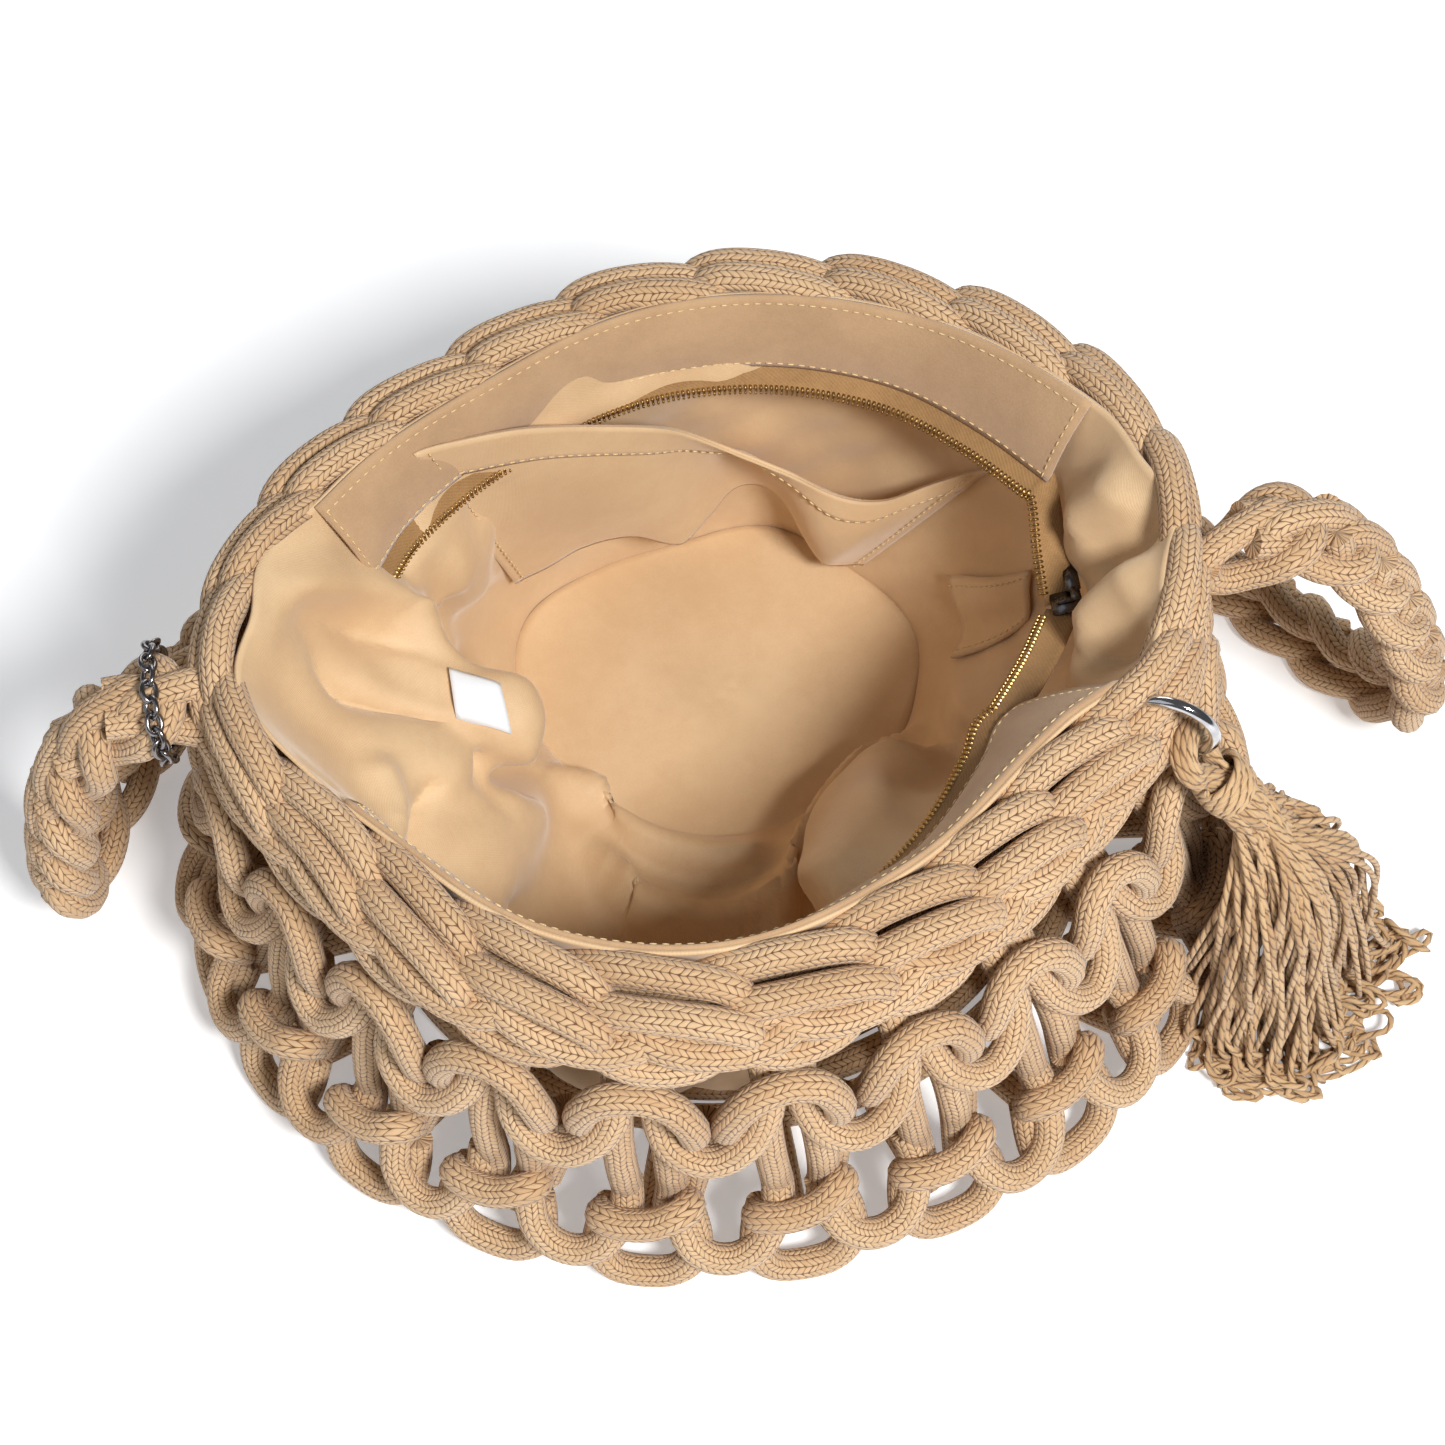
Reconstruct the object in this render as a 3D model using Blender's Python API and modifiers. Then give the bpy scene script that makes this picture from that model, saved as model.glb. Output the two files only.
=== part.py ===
"""Rope shoulder bag in metres, +Z up: X to the right, Y to the back, the origin on the floor under the base.

The bag stands open and slouched. A crocheted rope net hangs from a thick crocheted rim, and a cloth lining
hangs inside it.
"""

import math
from collections import namedtuple

import bmesh
import bpy
from mathutils import Matrix, Vector

# Rope and net
ROPE = 0.010
COLUMNS = 22
CLEARANCE = 0.0003

# Mouth and rim
MOUTH_HALF_X = 0.148
MOUTH_HALF_Y = 0.130
RIM_TOP = 0.165
RIM_WIDE = 0.026
RIM_TALL = 0.030
RIM_LUMP = 0.07

# Net wall and base
FOOT_HALF_X = 0.172
FOOT_HALF_Y = 0.147
BASE_THICK = 0.010
BASE_ROW = 0.35
BASE_HOLD = 0.55
NET_COLLAR = 0.004
GAP_WIDE = 0.76
GAP_TALL = 0.74

# Lining
CLOTH = 0.0012
FLOOR_HALF_X = 0.066
FLOOR_HALF_Y = 0.056
FLOOR_SHIFT_X = 0.008
FLOOR_SHIFT_Y = 0.055
AROUND = 2 * COLUMNS
RUFFLE = 0.0022
RUFFLE_SPREAD = 24.0
RUFFLE_DEPTH = 0.4
FOLD_START = 0.3

# Facings, zip and small sewn pieces
FACING = 0.0014
TAPE = 0.0008
TAPE_WIDE = 0.0055
TEETH_WIDE = 0.0033
TEETH_TALL = 0.0024
SLIDER = (0.012, 0.0085, 0.006)
SLIDER_DIRECTION = 4.0
SLIDER_DEPTH = 0.32
SLIDER_OFF = 0.016
ZIP_BEND = 0.4
ZIP_EASE = 0.1
LABEL = 0.0004

# Strap and the chain round its root
STRAP_WIDE = 0.032
STRAP_THICK = 0.021
STRAP_LUMP = 0.10
STITCH = 0.030
CHAIN_WIRE = 0.0016
LINK_LONG = 0.0098
LINK_WIDE = 0.0060
CHAIN_PITCH = 0.0060
LINK_TILT = 38.0

# Ring and tassel
RING_DIAMETER = 0.029
RING_WIRE = 0.0035
RING_DIRECTION = -25.0
RING_BELOW = 0.0135
TASSEL_HANG = 50.0
LOOP_RADIUS = 0.0072
LOOP_WIRE = 0.0074
BINDING_DIAMETER = 0.019
BINDING_LONG = 0.012
LOCK_THICK = 0.018
LOCK_STEPS = 6
LOCK_BEND = 0.45
LOCK_TOUCH = 0.78
LYING = 0.1

MouthRow = namedtuple("MouthRow", "direction reach height")
MOUTH = [
    MouthRow(0, 0.965, 1.00), MouthRow(30, 1.045, 0.98), MouthRow(60, 1.045, 0.97),
    MouthRow(90, 1.015, 0.97), MouthRow(120, 0.955, 0.97), MouthRow(150, 0.990, 0.98),
    MouthRow(180, 1.025, 1.00), MouthRow(210, 0.970, 0.98), MouthRow(240, 1.005, 0.96),
    MouthRow(262, 0.990, 0.95), MouthRow(290, 0.910, 0.95), MouthRow(318, 0.870, 0.96),
    MouthRow(340, 0.930, 0.98),
]

# The net's profile: outward from the rim's middle line (0) to the foot (1), and up from the floor (0) to
# the rim (1)
NetRow = namedtuple("NetRow", "place outward height")
NET_WALL = [
    NetRow(0.0, 0.00, 1.00), NetRow(0.5, 0.30, 0.86), NetRow(1.0, 0.44, 0.68), NetRow(1.5, 0.55, 0.50),
    NetRow(2.0, 0.70, 0.33), NetRow(2.5, 0.90, 0.15), NetRow(3.0, 1.00, 0.00),
]
WALL_ROWS = 3

# The lining's profile: from the rim's inner side (0) to the lining's floor (1), with its belly between
LiningRow = namedtuple("LiningRow", "depth toward_floor belly")
LINING = [
    LiningRow(0.00, 0.00, 0.000), LiningRow(0.12, 0.00, 0.000), LiningRow(0.24, 0.01, 0.012),
    LiningRow(0.36, 0.04, 0.055), LiningRow(0.48, 0.12, 0.060), LiningRow(0.60, 0.27, 0.050),
    LiningRow(0.72, 0.48, 0.035), LiningRow(0.86, 0.76, 0.015), LiningRow(1.00, 1.00, 0.000),
]

# Slouch folds pushed into the lining: push as a share of the mouth's half length, width in degrees
FoldRow = namedtuple("FoldRow", "direction depth push width tall")
FOLDS = [
    FoldRow(176, 0.52, 0.32, 24, 0.26), FoldRow(212, 0.66, 0.20, 16, 0.20),
    FoldRow(250, 0.74, 0.16, 14, 0.16), FoldRow(286, 0.62, 0.10, 14, 0.22),
    FoldRow(318, 0.56, 0.14, 14, 0.24), FoldRow(350, 0.60, 0.14, 14, 0.24),
    FoldRow(136, 0.46, 0.10, 10, 0.24), FoldRow(22, 0.56, 0.08, 10, 0.24),
]

# Cloth pieces sewn on the lining's inner side, between two of its columns and two of its rows
SewnRow = namedtuple("SewnRow", "name first last top bottom")
SEWN = [
    SewnRow("slip_pocket", 5, 16, 2, 6), SewnRow("zip_end_tab", 1, 4, 4, 6),
    SewnRow("care_label", 20, 21, 4, 5),
]

# Facings hang from the rim: drop of the band and how far its lower edge leans in, shares of the rim's
# height, and how far the zip's tape there hangs from level, in degrees
FacingRow = namedtuple("FacingRow", "direction drop lean hang")
BACK_FACING = [
    FacingRow(28, 1.10, 0.22, 20), FacingRow(60, 1.15, 0.20, 35), FacingRow(90, 1.10, 0.18, 45),
    FacingRow(120, 1.20, 0.20, 60), FacingRow(153, 1.10, 0.22, 60),
]
FRONT_FACING = [
    FacingRow(207, 0.70, 0.15, 80), FacingRow(240, 0.80, 0.18, 80), FacingRow(270, 0.90, 0.30, 70),
    FacingRow(300, 1.00, 0.75, 40), FacingRow(320, 1.05, 0.85, 20), FacingRow(336, 1.05, 0.60, 20),
]

# The strap's route: its height as a share of the rim's, and outward as a share of a half size that is the
# mouth's at the roots (at_rim 1) and the foot's where it lies on the floor (at_rim 0)
StrapRow = namedtuple("StrapRow", "direction outward height at_rim")
STRAP = [
    StrapRow(0, 0.907, 0.90, 1), StrapRow(2, 1.127, 0.95, 1), StrapRow(2, 1.204, 0.83, 0.5),
    StrapRow(1, 1.26, 0.55, 0), StrapRow(2, 1.34, 0.26, 0), StrapRow(9, 1.31, 0.10, 0),
    StrapRow(24, 1.20, 0.09, 0), StrapRow(42, 1.14, 0.09, 0), StrapRow(60, 1.13, 0.09, 0),
    StrapRow(78, 1.13, 0.09, 0), StrapRow(96, 1.13, 0.09, 0), StrapRow(114, 1.13, 0.09, 0),
    StrapRow(132, 1.13, 0.09, 0), StrapRow(150, 1.14, 0.09, 0), StrapRow(166, 1.19, 0.10, 0),
    StrapRow(178, 1.22, 0.18, 0),
    StrapRow(181, 1.19, 0.45, 0), StrapRow(181, 1.215, 0.70, 0.5), StrapRow(181, 1.185, 0.87, 1),
    StrapRow(181, 1.046, 0.90, 1), StrapRow(181, 0.895, 0.90, 1),
]

# Locks of the tassel's skirt: where each ends, direction and outward share of the foot's half size, how far
# it bellies and how high its end lies, shares of the rim's tall and top
LockRow = namedtuple("LockRow", "direction outward belly end_height")
LOCKS = [
    LockRow(-13, 1.15, 0.34, 0.30), LockRow(-16, 1.24, 0.30, 0.16), LockRow(-20, 1.33, 0.28, 0.045),
    LockRow(-24, 1.40, 0.26, 0.045), LockRow(-28, 1.44, 0.24, 0.045), LockRow(-32, 1.44, 0.20, 0.045),
    LockRow(-36, 1.40, 0.18, 0.045), LockRow(-40, 1.34, 0.16, 0.045), LockRow(-43, 1.26, 0.14, 0.045),
    LockRow(-45, 1.18, 0.12, 0.045), LockRow(-26, 1.24, 0.40, 0.045), LockRow(-34, 1.22, 0.36, 0.045),
]


def place_between(rows, at, period=None):
    """The four rows round a place, where they lie, and the place itself, kept within the table."""
    first = [row[0] for row in rows]
    count = len(rows)
    if period:
        at = (at - first[0]) % period + first[0]
        index = max(i for i in range(count) if first[i] <= at + 1e-9)
        picks = [(index + step) % count for step in (-1, 0, 1, 2)]
        places = [
            first[(index + step) % count] + period * ((index + step) // count) for step in (-1, 0, 1, 2)
        ]
    else:
        at = min(max(at, first[0]), first[-1])
        index = min(max(i for i in range(count) if first[i] <= at + 1e-9), count - 2)
        picks = [min(max(index + step, 0), count - 1) for step in (-1, 0, 1, 2)]
        places = [first[pick] for pick in picks]
    return picks, places, at


def read(rows, column, at, period=None):
    """A table's column at any place, on a smooth curve through its rows; a period closes it into a ring."""
    picks, places, at = place_between(rows, at, period)
    values = [getattr(rows[pick], column) for pick in picks]
    step = places[2] - places[1]
    share = (at - places[1]) / step
    slope_in = (values[2] - values[0]) / (places[2] - places[0]) * step
    slope_out = (values[3] - values[1]) / (places[3] - places[1]) * step
    square, cube = share * share, share * share * share
    return (
        values[1] * (2 * cube - 3 * square + 1) + slope_in * (cube - 2 * square + share)
        + values[2] * (3 * square - 2 * cube) + slope_out * (cube - square)
    )


def on_oval(direction, half_x, half_y, z):
    angle = math.radians(direction)
    return Vector((half_x * math.cos(angle), half_y * math.sin(angle), z))


def mouth_point(direction, inset, below_top):
    """A point of the mouth's outline, moved in by inset and down from the rim's top."""
    reach = read(MOUTH, "reach", direction, 360)
    height = RIM_TOP * read(MOUTH, "height", direction, 360)
    point = on_oval(direction, MOUTH_HALF_X * reach, MOUTH_HALF_Y * reach, height - below_top)
    return point - outward_at(direction) * inset


def outward_at(direction):
    angle = math.radians(direction)
    return Vector((math.cos(angle) / MOUTH_HALF_X, math.sin(angle) / MOUTH_HALF_Y, 0)).normalized()


def tidy(mesh):
    """Faces turned outwards on a closed mesh, and smooth shading with sharp creases kept."""
    work = bmesh.new()
    work.from_mesh(mesh)
    bmesh.ops.recalc_face_normals(work, faces=work.faces)
    work.to_mesh(mesh)
    work.free()
    mesh.shade_smooth()
    mesh.set_sharp_from_angle(angle=math.radians(50))
    return mesh


def loft(name, rings, ring_closed=False):
    """A closed skin through rings of points, with its ends capped or joined to each other."""
    mesh = bpy.data.meshes.new(name)
    work = bmesh.new()
    grid = [[work.verts.new(point) for point in ring] for ring in rings]
    count = len(grid[0])
    pairs = list(zip(grid, grid[1:]))
    if ring_closed:
        pairs.append((grid[-1], grid[0]))
    for near, far in pairs:
        for i in range(count):
            j = (i + 1) % count
            work.faces.new((near[i], near[j], far[j], far[i]))
    if not ring_closed:
        work.faces.new(grid[0])
        work.faces.new(grid[-1])
    work.to_mesh(mesh)
    work.free()
    return tidy(mesh)


def sheet(name, grid, thickness, closed=False, floor=None):
    """A surface through rows of points, given its thickness by Solidify; a floor point closes its last row."""
    mesh = bpy.data.meshes.new(name)
    work = bmesh.new()
    rows = [[work.verts.new(point) for point in row] for row in grid]
    for upper, lower in zip(rows, rows[1:]):
        for i in range(len(upper) if closed else len(upper) - 1):
            j = (i + 1) % len(upper)
            work.faces.new((upper[i], upper[j], lower[j], lower[i]))
    if floor is not None:
        middle = work.verts.new(floor)
        last = rows[-1]
        for i in range(len(last)):
            work.faces.new((last[i], last[(i + 1) % len(last)], middle))
    work.to_mesh(mesh)
    work.free()
    return thicken(add(name, tidy(mesh)), thickness)


def thicken(piece, thickness):
    wall = piece.modifiers.new("Wall", "SOLIDIFY")
    wall.thickness = thickness
    wall.offset = 0
    wall.use_even_offset = True
    return piece


def add(name, mesh, collection=None):
    piece = bpy.data.objects.new(name, mesh)
    (collection or parts).objects.link(piece)
    return piece


def as_helper(name, mesh, collection):
    helper = add(name, mesh, collection)
    helper.hide_render = True
    helper.display_type = "WIRE"
    return helper


def combine(piece, operation, helper=None, group=None):
    step = piece.modifiers.new(operation.title(), "BOOLEAN")
    step.operation = operation
    step.solver = "EXACT"
    if group:
        step.operand_type = "COLLECTION"
        step.collection = group
    else:
        step.object = helper


def colour(piece, name, base, roughness, metallic=0.0):
    material = bpy.data.materials.new(name)
    material.use_nodes = True
    shader = material.node_tree.nodes["Principled BSDF"]
    shader.inputs["Base Color"].default_value = (*base, 1)
    shader.inputs["Roughness"].default_value = roughness
    shader.inputs["Metallic"].default_value = metallic
    piece.data.materials.append(material)
    return piece


def torus_mesh(name, radius, wire, around, sides, matrix):
    """A ring of round wire, its axis the matrix's Z."""
    rings = []
    for i in range(around):
        turn = math.tau * i / around
        out = Vector((math.cos(turn), math.sin(turn), 0))
        ring = [
            matrix @ (out * (radius + wire / 2 * math.cos(math.tau * j / sides))
                      + Vector((0, 0, wire / 2 * math.sin(math.tau * j / sides))))
            for j in range(sides)
        ]
        rings.append(ring)
    return loft(name, rings, ring_closed=True)


Knot = namedtuple("Knot", "place x y z")


def smooth_path(points, count):
    """Evenly spaced points on a smooth curve through a few chosen points."""
    place, knots = 0.0, []
    for i, point in enumerate(points):
        place += (point - points[i - 1]).length if i else 0.0
        knots.append(Knot(place, *point))
    fine = [
        Vector(read(knots, axis, place * i / (8 * count)) for axis in "xyz") for i in range(8 * count + 1)
    ]
    lengths = [0.0]
    for near, far in zip(fine, fine[1:]):
        lengths.append(lengths[-1] + (far - near).length)
    path, k = [], 0
    for i in range(count + 1):
        target = lengths[-1] * i / count
        while k < len(fine) - 2 and lengths[k + 1] < target:
            k += 1
        share = (target - lengths[k]) / (lengths[k + 1] - lengths[k])
        path.append(fine[k].lerp(fine[k + 1], share))
    return path


def along(path, i):
    return (path[min(i + 1, len(path) - 1)] - path[max(i - 1, 0)]).normalized()


def carried_sides(path, side):
    """The side direction at each point, carried along the path without twist."""
    sides = []
    for i in range(len(path)):
        tangent = along(path, i)
        side = (side - tangent * side.dot(tangent)).normalized()
        sides.append(side)
    return sides


def rim_mesh(name, grow):
    """The crocheted rim: an oval roll whose thickness swells once for each stitch."""
    sides, sections = 8, 3 * COLUMNS
    rings = []
    for i in range(sections):
        direction = 360 * i / sections
        swell = 1 + RIM_LUMP * math.cos(math.tau * (i % 3) / 3)
        centre = mouth_point(direction, RIM_WIDE / 2, RIM_TALL / 2)
        out = outward_at(direction)
        ring = []
        for j in range(sides):
            turn = math.tau * (j + 0.5) / sides
            wide = (RIM_WIDE / 2 * swell + grow) * math.cos(turn) / math.cos(math.pi / sides)
            tall = (RIM_TALL / 2 + grow) * math.sin(turn) / math.cos(math.pi / sides)
            ring.append(centre + out * wide + Vector((0, 0, tall)))
        rings.append(ring)
    return loft(name, rings, ring_closed=True)


def net_point(direction, place):
    """A point of the net's middle surface; place counts rows from the rim down to the foot."""
    top = mouth_point(direction, RIM_WIDE / 2, RIM_TALL + CLEARANCE + NET_COLLAR)
    foot = on_oval(direction, FOOT_HALF_X, FOOT_HALF_Y, NET_COLLAR)
    point = top.lerp(foot, read(NET_WALL, "outward", place))
    point.z = foot.z + (top.z - foot.z) * read(NET_WALL, "height", place)
    return point


def make_net():
    """The wall's rows with a gap in each cell, between upright collars under the rim and on the floor."""
    mesh = bpy.data.meshes.new("rope_net")
    work = bmesh.new()
    step = 360 / (2 * COLUMNS)
    lines = [
        [work.verts.new(net_point(step * i, row)) for i in range(2 * COLUMNS)] for row in range(WALL_ROWS + 1)
    ]
    crown = [work.verts.new(vert.co + Vector((0, 0, NET_COLLAR))) for vert in lines[0]]
    heel = [work.verts.new(vert.co - Vector((0, 0, NET_COLLAR))) for vert in lines[-1]]
    for upper, lower in ((crown, lines[0]), (lines[-1], heel)):
        for i in range(2 * COLUMNS):
            following = (i + 1) % (2 * COLUMNS)
            work.faces.new((upper[i], upper[following], lower[following], lower[i]))
    for row in range(WALL_ROWS):
        shift = row % 2
        posts = [work.verts.new(net_point(step * (2 * c + shift), row + 0.5)) for c in range(COLUMNS)]
        for c in range(COLUMNS):
            i = 2 * c + shift
            picks = [i % (2 * COLUMNS), (i + 1) % (2 * COLUMNS), (i + 2) % (2 * COLUMNS)]
            upper = [lines[row][pick] for pick in picks]
            lower = [lines[row + 1][pick] for pick in picks]
            outer = [*upper, posts[(c + 1) % COLUMNS], *reversed(lower), posts[c]]
            inner = []
            for corner in range(8):
                turn = math.tau * (3 - corner) / 8
                across = step * (i + 1 + GAP_WIDE * math.cos(turn))
                place = row + 0.5 - GAP_TALL / 2 * math.sin(turn)
                inner.append(work.verts.new(net_point(across, place)))
            for k in range(8):
                following = (k + 1) % 8
                work.faces.new((outer[k], outer[following], inner[following], inner[k]))
    work.to_mesh(mesh)
    work.free()
    return thicken(add("rope_net", tidy(mesh)), ROPE)


def make_base():
    """The crocheted base: a flat oval that fills the net's foot."""
    rings = []
    for z in (BASE_THICK, 0):
        ring = []
        for i in range(AROUND):
            direction = 360 * i / AROUND
            wall = net_point(direction, WALL_ROWS - BASE_ROW)
            edge = wall - outward_at(direction) * (BASE_HOLD * ROPE + CLEARANCE)
            ring.append(Vector((edge.x, edge.y, z)))
        rings.append(ring)
    return add("rope_base", loft("rope_base", rings))


def lining_middle():
    return Vector((FLOOR_SHIFT_X, FLOOR_SHIFT_Y, BASE_THICK + CLOTH / 2 + CLEARANCE))


def lining_point(direction, depth, inset=0.0):
    """A point of the lining, which is sewn to the rim; inset moves it in towards the bag's middle."""
    top = mouth_point(direction, RIM_WIDE * (1 + RIM_LUMP / 2) + CLOTH / 2 + 2 * CLEARANCE, 0.1 * RIM_TALL)
    floor = lining_middle() + on_oval(direction, FLOOR_HALF_X, FLOOR_HALF_Y, 0)
    out = outward_at(direction)
    point = top.lerp(floor, read(LINING, "toward_floor", depth))
    point.z = top.z + (floor.z - top.z) * depth
    push = 0.0
    for fold in FOLDS:
        turn = (direction - fold.direction + 180) % 360 - 180
        push += fold.push * math.exp(-((turn / fold.width) ** 2) - ((depth - fold.depth) / fold.tall) ** 2)
    push *= min(1.0, depth / FOLD_START) * MOUTH_HALF_X
    belly = read(LINING, "belly", depth) * MOUTH_HALF_X
    gather = sum(
        math.exp(-((((direction - side + 180) % 360 - 180) / RUFFLE_SPREAD) ** 2)) for side in (0, 180)
    )
    waves = math.sin(math.radians(direction * AROUND / 4)) - 1
    ruffle = RUFFLE * gather * max(0.0, 1 - depth / RUFFLE_DEPTH) * waves
    return point + out * (belly - push - inset + ruffle)


def lining_normal(direction, depth):
    """The direction across the lining's cloth, into the bag."""
    turn, drop = 180 / AROUND, 0.03
    round_it = lining_point(direction + turn, depth) - lining_point(direction - turn, depth)
    down_it = lining_point(direction, depth + drop) - lining_point(direction, depth - drop)
    normal = round_it.cross(down_it).normalized()
    return normal if normal.dot(outward_at(direction)) < 0 else -normal


def make_lining():
    grid = [[lining_point(360 * i / AROUND, row.depth) for i in range(AROUND)] for row in LINING]
    return sheet("lining", grid, CLOTH, closed=True, floor=lining_middle())


def facing_point(rows, direction, share, inset=0.0):
    """A point of a facing, which lies on the lining at its top and leans in towards its lower edge."""
    drop = read(rows, "drop", direction) * RIM_TALL
    lean = read(rows, "lean", direction) * RIM_TALL
    top = lining_point(direction, 0, (CLOTH + FACING) / 2 + 2 * CLEARANCE)
    return top - outward_at(direction) * (lean * share + inset) - Vector((0, 0, drop * share))


def grid_directions(rows):
    """The lining's own directions between a table's first and last rows, so that both are faceted alike."""
    step = 360 / AROUND
    first, last = math.ceil(rows[0].direction / step), math.floor(rows[-1].direction / step)
    return [step * i for i in range(first, last + 1)]


def make_facing(name, rows):
    grid = [
        [facing_point(rows, direction, share) for direction in grid_directions(rows)] for share in (0, 0.4, 1)
    ]
    return sheet(name, grid, FACING)


def zip_stations(rows, backwards):
    """The zip's path from the slider along a facing's lower edge, with the inward direction at each station."""
    directions = grid_directions(rows)
    if backwards:
        directions.reverse()
    below = FACING / 2 + TAPE / 2 + CLEARANCE
    edge = [facing_point(rows, direction, 1) - Vector((0, 0, below)) for direction in directions]
    slider = slider_frame()
    away = slider.to_3x3().col[0] * (-1 if backwards else 1)
    start = slider.translation + away * (SLIDER[0] / 2 + 2 * CLEARANCE)
    bend = start.lerp(edge[0], ZIP_BEND) + away * ZIP_EASE * (edge[0] - start).length
    inward = []
    for direction in directions:
        hang = math.radians(read(rows, "hang", direction))
        inward.append(-outward_at(direction) * math.cos(hang) - Vector((0, 0, math.sin(hang))))
    across = slider.to_3x3().col[1]
    across = across if across.dot(inward[0]) > 0 else -across
    return [start, bend, *edge], [across, across.lerp(inward[0], 0.5).normalized(), *inward]


def slider_frame():
    """The slider stands off the lining's right wall, in line with both halves of the zip."""
    back, front = BACK_FACING[0], FRONT_FACING[-1]
    span = facing_point(BACK_FACING, back.direction, 1) - facing_point(FRONT_FACING, front.direction, 1)
    return frame_at(lining_point(SLIDER_DIRECTION, SLIDER_DEPTH, SLIDER_OFF), span, Vector((0, 0, 1)))


def make_zip(side, rows, backwards):
    stations, inward = zip_stations(rows, backwards)
    grid = [
        [point + direction * TAPE_WIDE * share for point, direction in zip(stations, inward)]
        for share in (0, 1)
    ]
    tape = sheet(f"zip_tape_{side}", grid, TAPE)
    rings = []
    for i, (point, direction) in enumerate(zip(stations, inward)):
        centre = point + direction * (TAPE_WIDE + CLEARANCE + TEETH_WIDE / 2)
        upward = along(stations, i).cross(direction).normalized()
        half_wide, half_tall = direction * TEETH_WIDE / 2, upward * TEETH_TALL / 2
        rings.append([
            centre - half_wide - half_tall, centre + half_wide - half_tall,
            centre + half_wide + half_tall, centre - half_wide + half_tall,
        ])
    teeth = add(f"zip_teeth_{side}", loft(f"zip_teeth_{side}", rings))
    return tape, teeth


def make_box(name, size, matrix):
    """A block with softened edges, its place in its mesh."""
    mesh = bpy.data.meshes.new(name)
    work = bmesh.new()
    bmesh.ops.create_cube(work, size=1, matrix=matrix @ Matrix.Diagonal((*size, 1)))
    bmesh.ops.bevel(work, geom=work.edges[:], offset=min(size) * 0.2, segments=1, affect="EDGES")
    work.to_mesh(mesh)
    work.free()
    return add(name, tidy(mesh))


def frame_at(origin, x_axis, z_axis):
    """A frame with its X along the first direction and its Z as near the second as can be."""
    x_axis = x_axis.normalized()
    y_axis = z_axis.cross(x_axis).normalized()
    z_axis = x_axis.cross(y_axis)
    matrix = Matrix((x_axis, y_axis, z_axis)).transposed().to_4x4()
    matrix.translation = origin
    return matrix


def make_sewn(row, thickness):
    """A cloth piece sewn to the lining's inner side, faceted like it."""
    inset = (CLOTH + thickness) / 2 + 2 * CLEARANCE
    directions = [360 / AROUND * i for i in range(row.first, row.last + 1)]
    grid = [
        [
            lining_point(direction, line.depth) + lining_normal(direction, line.depth) * inset
            for direction in directions
        ]
        for line in LINING[row.top:row.bottom + 1]
    ]
    return sheet(row.name, grid, thickness)


def strap_path():
    """The strap's middle line: the right root, the arch, the floor behind the bag and the left root."""
    points = []
    for row in STRAP:
        half_x = (FOOT_HALF_X + (MOUTH_HALF_X - FOOT_HALF_X) * row.at_rim) * row.outward
        half_y = (FOOT_HALF_Y + (MOUTH_HALF_Y - FOOT_HALF_Y) * row.at_rim) * row.outward
        points.append(on_oval(row.direction, half_x, half_y, RIM_TOP * row.height))
    count = 2 * round(sum((b - a).length for a, b in zip(points, points[1:])) / STITCH)
    return smooth_path(points, count)


def on_floor(ring, down=False):
    """A ring of points lifted to the floor if it dips below it, or also let down to it."""
    lowest = min(point.z for point in ring)
    if lowest > 0 and not down:
        return ring
    return [point - Vector((0, 0, lowest)) for point in ring]


def strap_rings():
    path = strap_path()
    sides = carried_sides(path, Vector((0, 1, 0)))
    rings = []
    for i, point in enumerate(path):
        face = along(path, i).cross(sides[i])
        swell = 1 + STRAP_LUMP * (1 if i % 2 else -1)
        rings.append(on_floor([
            point + sides[i] * (STRAP_WIDE / 2 * swell * math.cos(math.tau * (j + 0.5) / 8))
            + face * (STRAP_THICK / 2 * swell * math.sin(math.tau * (j + 0.5) / 8))
            for j in range(8)
        ]))
    return rings


def make_strap():
    strap = add("shoulder_strap", loft("shoulder_strap", strap_rings()))
    combine(strap, "DIFFERENCE", as_helper("rim_space", rim_mesh("rim_space", CLEARANCE), cutters))
    return strap


def make_chain():
    """A curb chain wrapped round the strap's left root, its links turned half over by turns and interlocked."""
    group = bpy.data.collections.new("chain_links")
    cutters.children.link(group)
    path = strap_path()
    root = path[-3]
    axis = along(path, len(path) - 3)
    side = carried_sides(path, Vector((0, 1, 0)))[-3]
    face = axis.cross(side)
    tilt = math.radians(LINK_TILT)
    room = (LINK_WIDE - CHAIN_WIRE) / 2 * math.sin(tilt) + CHAIN_WIRE / 2 + CLEARANCE
    waist = 1 - STRAP_LUMP * (1 - 3 * LINK_WIDE / STITCH)
    half_wide = STRAP_WIDE / 2 * waist + room
    half_thick = STRAP_THICK / 2 * waist + room
    mean = math.sqrt((3 * half_wide + half_thick) * (half_wide + 3 * half_thick))
    length = math.pi * (3 * (half_wide + half_thick) - mean)
    links = 2 * round(length / CHAIN_PITCH / 2)
    first = None
    for i in range(links):
        turn = math.tau * i / links
        centre = root + side * (half_wide * math.cos(turn)) + face * (half_thick * math.sin(turn))
        tangent = (face * (half_thick * math.cos(turn)) - side * (half_wide * math.sin(turn))).normalized()
        frame = frame_at(centre, tangent, axis) @ Matrix.Rotation(tilt if i % 2 else -tilt, 4, "X")
        stretch = Matrix.Diagonal((LINK_LONG / LINK_WIDE, 1, 1, 1))
        link = torus_mesh("link", (LINK_WIDE - CHAIN_WIRE) / 2, CHAIN_WIRE, 8, 5, frame @ stretch)
        if first is None:
            first = add("strap_chain", link)
        else:
            as_helper(f"link_{i}", link, group)
    combine(first, "UNION", group=group)
    return first


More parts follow.
